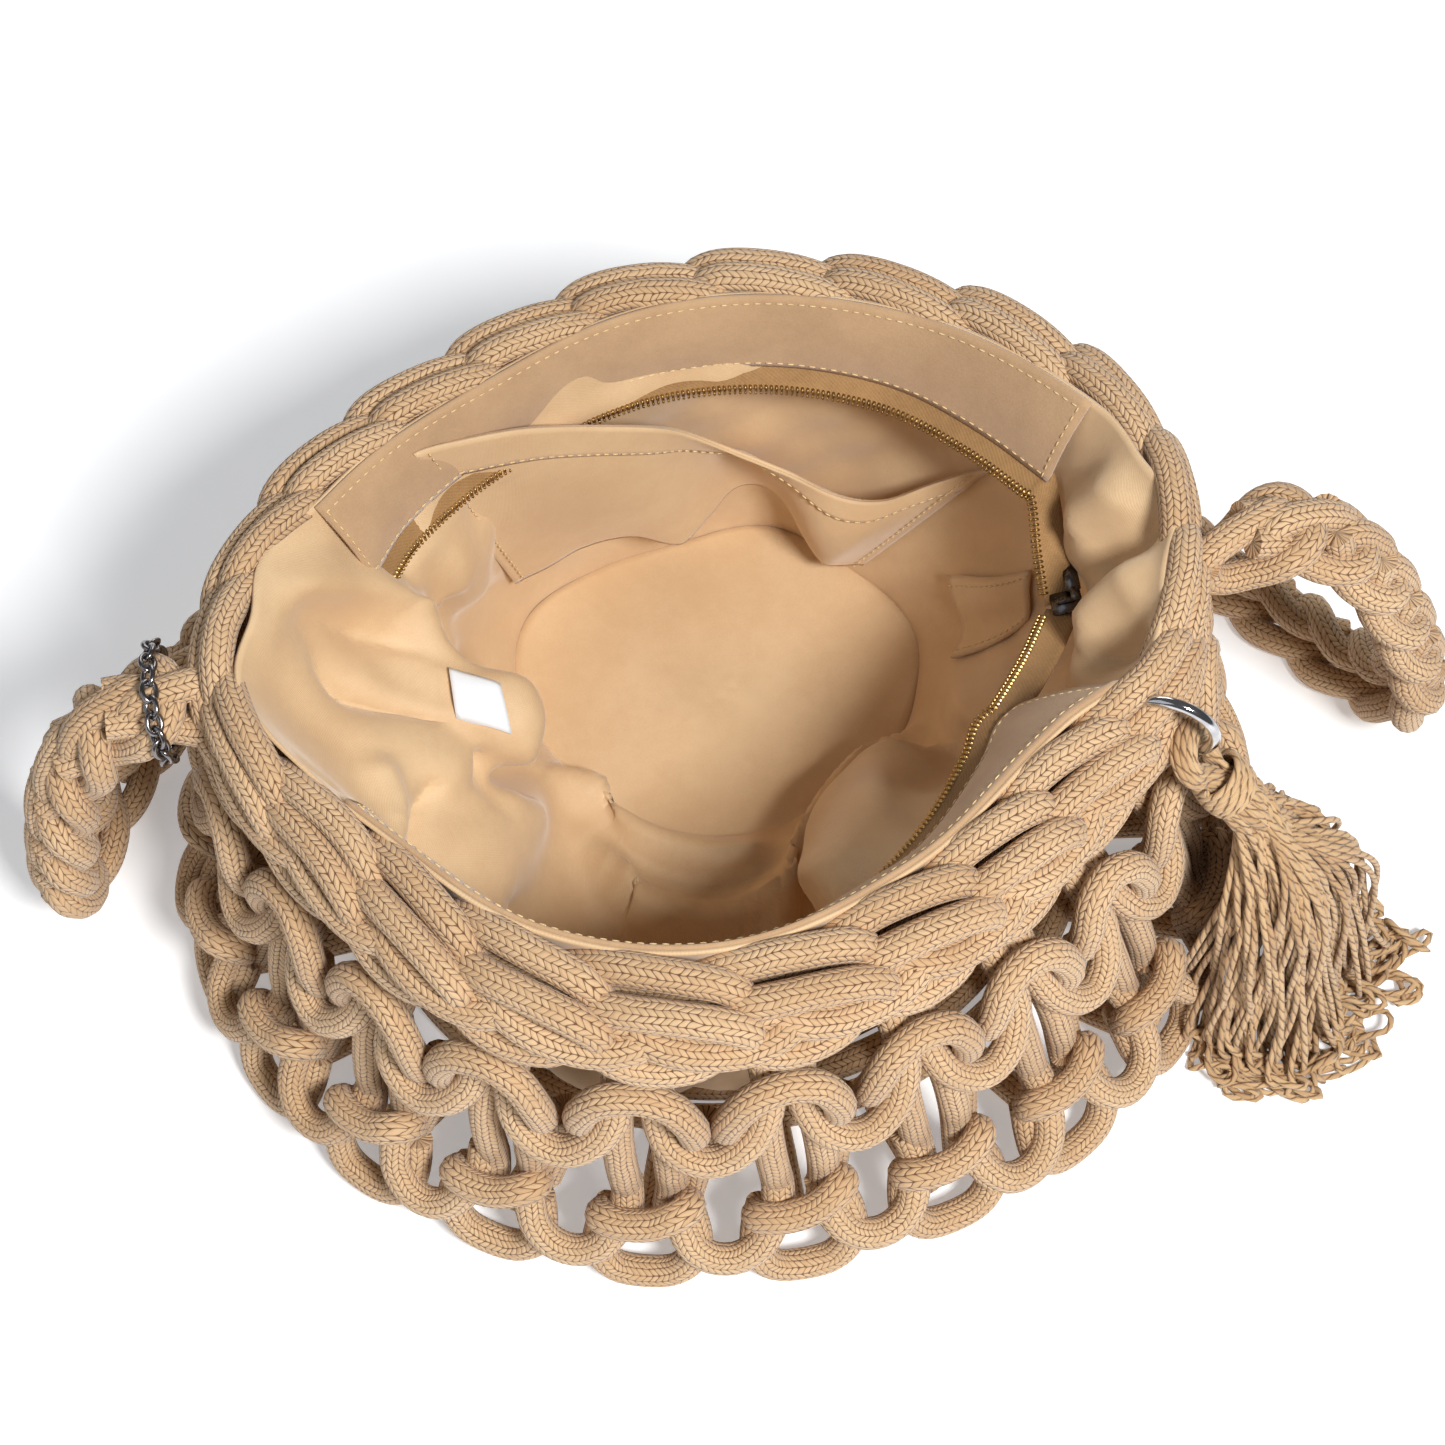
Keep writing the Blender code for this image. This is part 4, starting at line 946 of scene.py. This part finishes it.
def metal(name, colour, roughness, scratch=0.06, metallic=1.0):
    """Plated metal with a faint uneven polish."""
    material, shader, w = finish(name, roughness, metallic=metallic)
    place = w.put("ShaderNodeTexCoord", out="Object")
    cloud, fine = place.noise(260.0, 4.0), place.noise(2600.0)
    dull = tuple(0.72 * v for v in colour)
    return wear(
        material, shader, base_color=cloud.between(0.3, 0.7).blend(dull, colour),
        roughness=roughness + cloud * scratch * 2 - scratch, normal=fine.bump(0.25, 0.00004),
    )


brass = metal("antique brass", (0.62, 0.42, 0.17), 0.34)
tape_finish = woven("brown zip tape", tint(168, 130, 84), tint(136, 100, 60), 0.0012, 0.0003, 0.8, sheen=0.15)
tooth = block("tooth", (
    ((0.00085, 0.0021, 0.0022), (0, -0.0003, 0)), ((0.00078, 0.0012, 0.0015), (0, 0.0012, 0.0001)),
), 0.00022)


def zip_line(rows, backwards):
    """The facing's lower edge from the slider on, and the way that the tape hangs there."""
    directions = np.arange(rows[0, 0], rows[-1, 0] + 0.1, 2.0)
    if backwards:
        directions = directions[::-1]
    edge = facing_at(rows, directions, np.ones_like(directions)) - [0, 0, 0.0012]
    hang = np.radians(read(rows, 3, directions))[:, None]
    inwards = -outward(directions) * np.cos(hang) - np.array([0, 0, 1.0]) * np.sin(hang)
    side = 1 if not backwards else -1
    start = slider_place + np.array([0.0, 0.0022 * side, 0.0])
    across = np.array([-1.0, -0.25 * side, 0.0])
    bend = start * 0.55 + edge[0] * 0.45 + np.array([0.0, 0.002 * side, 0])
    points = np.concatenate([[start, bend], edge])
    ways = np.concatenate([[across, across * 0.6 + inwards[0] * 0.4], inwards])
    return smooth(points, fine=10), unit(smooth(ways, fine=10))


for side, rows, backwards in (("back", BACK_FACING, False), ("front", FRONT_FACING, True)):
    line, way = zip_line(rows, backwards)
    grid = line[None] + way[None] * (np.linspace(-0.6, 1.25, 7) * TAPE_WIDE)[:, None, None]
    tape = cloth(f"zip_cloth_{side}", grid, TAPE, tape_finish)
    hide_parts(f"zip_tape_{side}")
    row = line + way * (TAPE_WIDE + TEETH_WIDE * 0.4)
    run = run_of(row)
    at = np.arange(TEETH_START, run[-1], TEETH_PITCH)
    place = spots(at, run, row)
    ahead = unit(np.gradient(place, axis=0))
    up = np.cross(ahead, spots(at, run, way))
    flip = 1 if np.mean(up[:, 2]) > 0 else -1
    teeth = set_out(f"brass_teeth_{side}", tooth, place, ahead * flip, up * flip, brass)
    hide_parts(f"zip_teeth_{side}")

dark_metal = metal("gunmetal", (0.16, 0.15, 0.15), 0.28)
slider_mesh = block("slider", (
    ((0.0076, 0.0096, 0.0012), (0, 0, 0.0019)), ((0.0076, 0.0096, 0.0012), (0, 0, -0.0019)),
    ((0.0022, 0.0034, 0.0030), (0, 0.0022, 0)), ((0.0016, 0.0066, 0.0010), (0, 0, 0.0034)),
    ((0.0040, 0.0026, 0.0009), (0.0012, -0.0030, 0.0040)),
    ((0.0100, 0.0046, 0.0009), (0.0080, -0.0030, 0.0030)),
), 0.0003)
slider = set_out("dark_slider", slider_mesh, [slider_place], [(0, 1, 0)], [(-0.2, 0, 1)], dark_metal)
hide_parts("zip_slider")


# Slip pocket, tab and label: an open pocket of the lining's own twill, its hem sagging forward; a small
# square of it stitched on the right wall below the zip's end; and a bare white satin label on the left wall.
# Columns: direction, the hem's depth and millimetres off the wall, the lower edge's, and the belly between
POCKET = np.array([
    (41, 0.44, 2, 0.93, 3, 0), (47, 0.52, 8, 0.93, 8, 4), (53, 0.60, 14, 0.90, 14, 6),
    (62, 0.60, 18, 0.86, 12, 6), (73, 0.52, 19, 0.78, 3, 0), (80, 0.46, 18, 0.78, 2, -6),
    (86, 0.40, 16, 0.80, 10, -4), (94, 0.30, 13, 0.82, 16, 0), (104, 0.22, 9, 0.74, 14, 3),
    (115, 0.14, 6, 0.74, 10, 3), (126, 0.09, 3, 0.78, 6, 1), (134, 0.06, 1.5, 0.78, 3, 0),
])
HEM, HEM_SHARE, HEM_OFF = 0.0009, 0.19, 1.1


def pocket_at(direction, down, off=0.0):
    """Points of the pocket: degrees round, and down it from the hem (0) to its lower edge (1)."""
    direction, down = np.broadcast_arrays(np.asarray(direction, float), np.asarray(down, float))
    hem, hem_off, low, low_off, belly = (read(POCKET, k, direction) for k in (1, 2, 3, 4, 5))
    top = lining_base(direction, hem) - outward(direction) * (hem_off / 1000)[..., None]
    end = lining_base(direction, low) - outward(direction) * (low_off / 1000)[..., None]
    point = top + (end - top) * down[..., None]
    lean = np.sin(np.pi * down) * belly / 1000 + np.asarray(off, float) / 1000
    return point - outward(direction) * lean[..., None]


pocket_directions = np.linspace(POCKET[0, 0], POCKET[-1, 0], 90)[None, :]
pocket_grid = pocket_at(pocket_directions, np.linspace(0, 1, 40)[:, None])
pocket = cloth("twill_pocket", pocket_grid, CLOTH, twill)
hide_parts("slip_pocket")
hem_grid = pocket_at(pocket_directions, np.linspace(-0.012, HEM_SHARE, 7)[:, None], HEM_OFF)
hem_band = cloth("pocket_hem", hem_grid, HEM, twill)

TAB_TURNS, TAB_DEPTHS, TAB_OFF = (28.5, 22.0, 12.0, 2.0), (0.745, 0.475, 0.59, 0.825), 4.2


def patch_at(corners, across, down, off):
    """Points between four corners, given by direction and depth on the lining and clockwise from top left."""
    across, down = np.broadcast_arrays(np.asarray(across, float), np.asarray(down, float))
    (a, b), (c, d), (e, f), (g, h) = corners
    direction = (a * (1 - across) + c * across) * (1 - down) + (g * (1 - across) + e * across) * down
    depth = (b * (1 - across) + d * across) * (1 - down) + (h * (1 - across) + f * across) * down
    return lining_base(direction, depth) - outward(direction) * (np.asarray(off, float) / 1000)[..., None]


TAB = tuple(zip(TAB_TURNS, TAB_DEPTHS))
steps = np.linspace(0, 1, 16)
tab = cloth("zip_tab", patch_at(TAB, steps[None, :], steps[:, None], TAB_OFF), FACING, twill)
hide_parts("zip_end_tab")

LABEL, LABEL_LIFT, LABEL_BOW, LABEL_NEAR = 0.0004, 0.0030, 0.0014, 0.004
LEFT_WALL = (slice(0, 38), slice(108, 172))
LABEL_CORNERS = np.array([
    (-0.0805, 0.0225, 0.0905), (-0.0655, 0.0165, 0.0885), (-0.0638, 0.0025, 0.0895),
    (-0.0800, 0.0070, 0.0925),
])
across, down = (share[..., None] for share in np.meshgrid(np.linspace(0, 1, 12), np.linspace(0, 1, 10)))
upper = LABEL_CORNERS[0] * (1 - across) + LABEL_CORNERS[1] * across
lower = LABEL_CORNERS[3] * (1 - across) + LABEL_CORNERS[2] * across
label_grid = upper * (1 - down) + lower * down
wall = lining_grid[LEFT_WALL].reshape(-1, 3)
near = np.exp(-np.sum((label_grid[:, :, None, :2] - wall[None, None, :, :2]) ** 2, -1) / LABEL_NEAR ** 2)
bow = LABEL_LIFT + LABEL_BOW * np.sin(across[..., 0] * 2.6)
label_grid[..., 2] = (near * wall[:, 2]).sum(-1) / near.sum(-1) + bow
label_white = woven("white satin", (0.86, 0.89, 0.93), (0.80, 0.84, 0.90), 0.0005, 0.00005, 0.38, sheen=0.1)
label = cloth("satin_label", label_grid, LABEL, label_white)
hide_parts("care_label")


# Topstitching: cream thread in short running stitches, sewn along the edges of the facings, the pocket and
# the tab, a little clear of the edge.
STITCH_PITCH, STITCH_HALF_LONG, STITCH_HALF_THICK = 0.0034, 0.0012, 0.00026
FACING_SEAMS, FACING_SEAM_OFF, END_SEAM, END_SEAM_SPAN = (0.08, 0.93), 1.0, 1.2, (0.06, 0.94)
HEM_SEAM, HEM_SEAM_OFF, HEM_SEAM_ENDS = 0.17, 2.0, (42.5, 132.5)
SIDE_SEAMS, SIDE_SEAM_OFF = (43.0, 132.0), 2.2
TAB_SEAMS, TAB_SEAM_OFF = (0.09, 0.90), 5.4
seams = []
for rows in (BACK_FACING, FRONT_FACING):
    ends = (rows[0, 0] + END_SEAM, rows[-1, 0] - END_SEAM)
    turns, down = np.linspace(*ends, 90), np.linspace(*END_SEAM_SPAN, 20)
    seams += [facing_at(rows, turns, np.full(90, share), FACING_SEAM_OFF) for share in FACING_SEAMS]
    seams += [facing_at(rows, np.full(20, turn), down, FACING_SEAM_OFF) for turn in ends]
seams.append(pocket_at(np.linspace(*HEM_SEAM_ENDS, 80), np.full(80, HEM_SEAM), HEM_SEAM_OFF))
seams += [pocket_at(np.full(30, turn), np.linspace(0.0, 1.0, 30), SIDE_SEAM_OFF) for turn in SIDE_SEAMS]
seams += [patch_at(TAB, steps, np.full(16, share), TAB_SEAM_OFF) for share in TAB_SEAMS]
places, aheads = [], []
for seam in seams:
    run = run_of(seam)
    at = np.arange(STITCH_PITCH / 2, run[-1], STITCH_PITCH)
    places.append(spots(at, run, seam))
    aheads.append(unit(spots(at + 0.001, run, seam) - spots(at - 0.001, run, seam)))
places, aheads = np.concatenate(places), np.concatenate(aheads)
thread, thread_shader, w = finish("cream thread", 0.6)
twist = w.put("ShaderNodeTexCoord", out="Object").noise(1800.0).between(0.3, 0.7)
wear(thread, thread_shader, base_color=twist.blend(tint(214, 184, 132), tint(236, 212, 164)))
stitch_mesh = bpy.data.meshes.new("stitch")
work = bmesh.new()
stitch_size = Matrix.Diagonal((STITCH_HALF_LONG, STITCH_HALF_THICK, STITCH_HALF_THICK, 1))
bmesh.ops.create_uvsphere(work, u_segments=6, v_segments=5, radius=1, matrix=stitch_size)
work.to_mesh(stitch_mesh)
work.free()
upright = np.tile((0, 0, 1.0), (len(places), 1))
stitches_piece = set_out("seam_stitches", stitch_mesh, places, aheads, upright, thread)


# Shoulder strap: a thick chain of the same rope, worked as one cord from root to root. Each stitch's two legs
# come up through the stitch before and go down under the next, with a strand along the back.
STITCH = 0.024
# Columns: direction, reach as a share of the oval's, height as a share of the rim's top, and how far the oval
# is the mouth's (1) and not the foot's (0)
STRAP = np.array([
    (0, 0.960, 0.90, 1), (2, 1.127, 0.95, 1), (2, 1.204, 0.83, 0.5), (1, 1.26, 0.55, 0), (2, 1.34, 0.26, 0),
    (9, 1.31, 0.10, 0), (24, 1.20, 0.09, 0), (42, 1.14, 0.09, 0), (60, 1.13, 0.09, 0), (78, 1.13, 0.09, 0),
    (96, 1.13, 0.09, 0), (114, 1.13, 0.09, 0), (132, 1.13, 0.09, 0), (150, 1.14, 0.09, 0),
    (166, 1.19, 0.10, 0), (178, 1.22, 0.18, 0), (181, 1.19, 0.45, 0), (181, 1.215, 0.70, 0.5),
    (181, 1.185, 0.87, 1), (181, 1.056, 0.90, 1), (181, 0.975, 0.90, 1),
])
turn, at_rim = np.radians(STRAP[:, 0]), STRAP[:, 3]
strap_line = smooth(np.stack([
    (FOOT_HALF_X + (MOUTH_HALF_X - FOOT_HALF_X) * at_rim) * STRAP[:, 1] * np.cos(turn),
    (FOOT_HALF_Y + (MOUTH_HALF_Y - FOOT_HALF_Y) * at_rim) * STRAP[:, 1] * np.sin(turn), RIM_TOP * STRAP[:, 2],
], -1), fine=40)
strap_run = run_of(strap_line)
strap_side = [Vector((0, 1, 0))]
for near, far in zip(strap_line, strap_line[1:]):
    ahead = Vector(far - near).normalized()
    strap_side.append((strap_side[-1] - ahead * strap_side[-1].dot(ahead)).normalized())
strap_side = np.array(strap_side)


def strap_at(along, across, face):
    """Points by the strap's middle line: metres along it, millimetres to its side and out from its face."""
    along = np.asarray(along, float)
    ahead = unit(spots(along + 0.004, strap_run, strap_line) - spots(along - 0.004, strap_run, strap_line))
    side = spots(along, strap_run, strap_side)
    side = unit(side - ahead * np.sum(side * ahead, -1, keepdims=True))
    point = spots(along, strap_run, strap_line) + side * (np.asarray(across) / 1000)[..., None]
    point += np.cross(ahead, side) * (np.asarray(face) / 1000)[..., None]
    point[..., 2] = np.maximum(point[..., 2], ROPE / 2)
    return point


# Columns of the next three: stitches along the strap, then millimetres to its side and towards its face
STRAP_LEG = np.array([
    (-0.30, 4.6, -5.5), (-0.05, 5.0, -1.0), (0.20, 5.6, 3.6), (0.50, 7.2, 5.6), (0.80, 9.6, 4.8),
    (1.05, 10.8, 2.0), (1.25, 9.6, -1.4), (1.38, 4.6, -3.4),
])
STRAP_LOOP = np.concatenate([STRAP_LEG * [1, -1, 1], STRAP_LEG[::-1]])
BACK_STRAND = np.array([
    (-0.16, -4.0, -1.0), (0.02, -2.0, -5.0), (0.50, 0.0, -6.2), (0.98, 2.0, -5.0), (1.16, 4.0, -1.0),
])
stitches = round(strap_run[-1] / STITCH)
pace = strap_run[-1] / stitches
strap_strands = []
for stitch in range(stitches):
    for shape in (STRAP_LOOP, BACK_STRAND):
        along = np.clip((shape[:, 0] + stitch) * pace, 0.001, strap_run[-1] - 0.001)
        strap_strands.append(lay(strap_at(along, shape[:, 1], -shape[:, 2]), ROPE))
strap = ropes("crocheted_strap", strap_strands, ROPE, 12, rope_finish)
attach(strap, "root")
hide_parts("shoulder_strap")


# Chain: a small gunmetal curb chain wrapped tight round the strap's left root, made of round wire links that
# pass through each other, tilted to one side and the other by turns.
LINK_LONG, LINK_WIDE, LINK_WIRE, LINK_PITCH, LINK_TILT = 0.0078, 0.0060, 0.0016, 0.0043, 38
CHAIN_ALONG, CHAIN_HALF_WIDE, CHAIN_HALF_THICK = 0.018, 0.0172, 0.0125


def ring_of_wire(name, long, wide, wire, around, sides):
    """A closed link in the XY plane, long in X."""
    rings = []
    for turn in np.linspace(0, math.tau, around, endpoint=False):
        middle = np.array([math.cos(turn) * (long - wire) / 2, math.sin(turn) * (wide - wire) / 2, 0])
        out = unit(np.array([math.cos(turn) / long, math.sin(turn) / wide, 0]))
        spin = np.linspace(0, math.tau, sides, endpoint=False)[:, None]
        rings.append(middle + (out * np.cos(spin) + np.array([0, 0, 1]) * np.sin(spin)) * wire / 2)
    points = np.concatenate(rings)
    faces = []
    for i in range(around):
        here, next_ring = i * sides, (i + 1) % around * sides
        for j in range(sides):
            k = (j + 1) % sides
            faces.append((here + j, next_ring + j, next_ring + k, here + k))
    mesh = bpy.data.meshes.new(name)
    mesh.from_pydata(points.tolist(), [], faces)
    return mesh


gunmetal = metal("chain gunmetal", (0.30, 0.28, 0.28), 0.22)
link_pairs = round(math.pi * (CHAIN_HALF_WIDE + CHAIN_HALF_THICK) / LINK_PITCH / 2)
link_turns = np.linspace(0, math.tau, 2 * link_pairs, endpoint=False)
along = np.full(len(link_turns), strap_run[-1] - CHAIN_ALONG)


def chain_at(turns):
    """Points of the chain's oval round the strap."""
    return strap_at(along, CHAIN_HALF_WIDE * 1000 * np.cos(turns), CHAIN_HALF_THICK * 1000 * np.sin(turns))


places = chain_at(link_turns)
aheads = unit(chain_at(link_turns + 0.05) - chain_at(link_turns - 0.05))
level = np.zeros(len(along))
axis = unit(strap_at(along + 0.002, level, level) - strap_at(along - 0.002, level, level))
outer = np.cross(axis, aheads)
tilt = np.radians(LINK_TILT) * np.where(np.arange(len(link_turns)) % 2, 1, -1)[:, None]
chain = set_out(
    "curb_chain", ring_of_wire("link", LINK_LONG, LINK_WIDE, LINK_WIRE, 20, 10), places, aheads,
    outer * np.cos(tilt) + axis * np.sin(tilt), gunmetal,
)
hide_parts("strap_chain")


# Ring: a polished ring of round wire that hangs through the rim's outer strands at the front right and
# carries the tassel.
RING_DIAMETER, RING_WIRE, RING_DIRECTION, RING_BELOW = 0.029, 0.0035, -25.0, 0.0135
ring_out = outward(np.array(RING_DIRECTION))
ring_middle = mouth(np.array(RING_DIRECTION), 0.0, RING_BELOW)
ring_across = np.cross(ring_out, [0, 0, 1.0])
ring_mesh = ring_of_wire("tassel_wire", RING_DIAMETER, RING_DIAMETER, RING_WIRE, 72, 20)
polished = metal("polished nickel", (0.66, 0.66, 0.68), 0.09, scratch=0.03)
ring = set_out("polished_ring", ring_mesh, [ring_middle], [ring_out], [ring_across], polished)
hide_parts("tassel_ring")


# Tassel: a bundle of soft two-ply cotton cords hung over the ring, bound with the same cord, its skirt a
# tangle of looped ends that spills over the foot of the bag and onto the floor.
CORD = 0.0021
TASSEL_HANG, LOOP_RADIUS = 50.0, 0.0072
BINDING_DIAMETER, BINDING_LONG, BINDING_WRAPS, CORD_SUNK = 0.019, 0.012, 6.5, 0.0012
SKIRT_ROOT_WIDE, CORD_WANDER, LOOP_SHARE = 0.0070, 0.0046, 0.06
# Columns: direction and reach of the skirt's hem, its cords' belly, and height, as shares of foot and rim
LOCKS = np.array([
    (-13, 1.12, 0.40, 0.30), (-15, 1.20, 0.38, 0.22), (-18, 1.32, 0.34, 0.10), (-20, 1.40, 0.32, 0.06),
    (-24, 1.39, 0.30, 0.05), (-28, 1.37, 0.28, 0.05), (-32, 1.39, 0.26, 0.05), (-36, 1.395, 0.24, 0.05),
    (-38, 1.31, 0.22, 0.05), (-39, 1.18, 0.18, 0.05),
])
LOOPED_CORDS, HEAD_CORDS = 96, 11


def twisted_cord(name, lit, mid, gap, pitch):
    """Two plies twisted together, each of fine yarns, with painted shade in the gap colour in the grooves
    between the plies.
    """
    material, shader, w = finish(name, 0.85, sheen_weight=0.25, sheen_roughness=0.5)
    section = w.put("ShaderNodeSeparateXYZ", {}, {0: w.stored("plait", "Vector")})
    strand = w.stored("strand", "Fac")
    place = w.put("ShaderNodeTexCoord", out="Object")
    wander = place.noise(300.0)
    spiral = section.of("Y").sum("ARCTAN2", section.of("X")) / math.pi
    lay_of_plies = spiral + section.of("Z") / pitch + wander * 0.5
    raised = (lay_of_plies.sum("FRACT") * math.pi).sum("SINE")
    yarns = (lay_of_plies * (5 * math.tau)).sum("SINE") * 0.5 + 0.5
    fibre = place.noise(2600.0, 3.0)
    shade = strand * 0.5 + fibre * 0.3 + wander * 0.3
    body = shade.between(0.2, 0.8).blend(mid, lit)
    # Painted shade: where the plies dip, between them, the colour turns to the dark gap colour in place of
    # real shadow.
    colour = raised.between(0.0, 0.6).blend(gap, body)
    normal = (raised ** 0.6 + yarns * 0.12 + fibre * 0.15).bump(0.9, 0.0005)
    return wear(material, shader, base_color=colour, normal=normal)


# CORD_PAINTED_SHADE is painted shade for the grooves between the plies, not a colour of the cord itself.
CORD_LIT, CORD_MID, CORD_PAINTED_SHADE = tint(206, 172, 129), tint(184, 147, 105), tint(128, 92, 58)
cord_finish = twisted_cord("twisted cord", CORD_LIT, CORD_MID, CORD_PAINTED_SHADE, 0.0050)
hang = math.radians(TASSEL_HANG)
tassel_down = ring_out * math.cos(hang) - np.array([0, 0, 1.0]) * math.sin(hang)
tassel_side = np.cross(tassel_down, ring_across)
loop_middle = ring_middle + tassel_down * ((RING_DIAMETER - RING_WIRE) / 2 + 0.0016)
band_start = loop_middle + tassel_down * (LOOP_RADIUS + 0.2 * BINDING_LONG)
chance = np.random.default_rng(11)
head_strands = []
for index in range(HEAD_CORDS):
    spin = math.tau * index / HEAD_CORDS
    deep, beside = math.cos(spin) * 0.0031, math.sin(spin) * 0.0033
    turns = np.linspace(-math.pi * 0.94, math.pi * 0.94, 15)
    over_ring = -tassel_down * np.cos(turns)[:, None] + ring_across * np.sin(turns)[:, None]
    arc = loop_middle + over_ring * (LOOP_RADIUS * 0.94 + deep)
    arc += tassel_side * beside * (0.7 + 0.3 * np.cos(turns))[:, None]
    around = ring_across * math.cos(spin) + tassel_side * math.sin(spin)
    lead = band_start + tassel_down * 0.008 + around * 0.005
    head_strands.append(lay(np.concatenate([[lead], arc[1:-1], [lead + tassel_side * 0.001]]), CORD, 0.0016))
wraps = np.linspace(0, 1, 120)
spin = wraps * math.tau * BINDING_WRAPS
around = ring_across * np.cos(spin)[:, None] + tassel_side * np.sin(spin)[:, None]
helix = band_start + tassel_down * (wraps * BINDING_LONG)[:, None]
helix += around * (BINDING_DIAMETER / 2 - CORD_SUNK - 0.0008 * (2 * wraps - 1) ** 2)[:, None]
helix += tassel_down * (0.0012 * np.sin(spin))[:, None]
head_strands.append(lay(helix, CORD, 0.0014))
head = ropes("tassel_head", head_strands, CORD, 8, cord_finish)
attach(head, "root")

skirt_root = band_start + tassel_down * BINDING_LONG * 0.75
lock_rows = np.c_[np.linspace(0, 1, len(LOCKS)), LOCKS]


def hanging_cord(share, layer, wave):
    """One cord of the skirt from the binding to its far end; layer lifts it, wave wanders it."""
    turn, reach, belly, height = (float(read(lock_rows, k, np.array([share]))[0]) for k in (1, 2, 3, 4))
    reach *= 1 - 0.30 * layer * wave[3] - 0.06 * abs(wave[4])
    angle = math.radians(turn)
    end = np.array([
        FOOT_HALF_X * reach * math.cos(angle), FOOT_HALF_Y * reach * math.sin(angle),
        RIM_TOP * height * (0.3 + 0.7 * layer),
    ])
    spin = math.tau * wave[0]
    around = ring_across * math.cos(spin) + tassel_side * math.sin(spin)
    begin = skirt_root + around * SKIRT_ROOT_WIDE * math.sqrt(wave[1])
    rise = (np.array([0, 0, 1.0]) + ring_out) * (belly * RIM_TALL * (0.6 + 0.9 * layer))
    middle = begin + (end - begin) * 0.45 + rise
    droop = begin + tassel_down * 0.014
    touch = begin + (end - begin) * 0.78
    touch[2] = end[2] + 0.006 * layer
    line = smooth(np.array([begin, droop, middle, touch, end]), fine=6)
    steps = np.linspace(0, 1, len(line))
    for axis in range(3):
        bends = np.sin(steps * (10 + 9 * wave[2]) + wave[5 + axis] * math.tau)
        line[:, axis] += CORD_WANDER * bends * steps * (0.6 if axis == 2 else 1)
    return line


skirt_strands = []
for index in range(LOOPED_CORDS):
    share, layer = (index + 0.5) / LOOPED_CORDS, chance.random() ** 1.4
    wave = chance.random(9)
    share = np.clip(share + chance.normal(0, 0.05), 0, 1 - LOOP_SHARE)
    out_way = hanging_cord(share, layer, wave)
    wave[5:8] += chance.normal(0, 0.04, 3)
    wave[0] += chance.normal(0, 0.04)
    back_way = hanging_cord(share + LOOP_SHARE, layer, wave)
    tip = [out_way[-1] * (1 - part) + back_way[-1] * part for part in (0.12, 0.5, 0.88)]
    tip[1] = tip[1] + (tip[1] - (out_way[-2] + back_way[-2]) / 2) * 0.5
    line = np.concatenate([out_way[:-1], tip, back_way[::-1][1:]])
    line[:, 2] = np.maximum(line[:, 2], CORD / 2)
    skirt_strands.append(lay(line, CORD, 0.0026))
skirt = ropes("tassel_skirt", skirt_strands, CORD, 6, cord_finish)
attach(skirt, "root")
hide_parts("tassel")
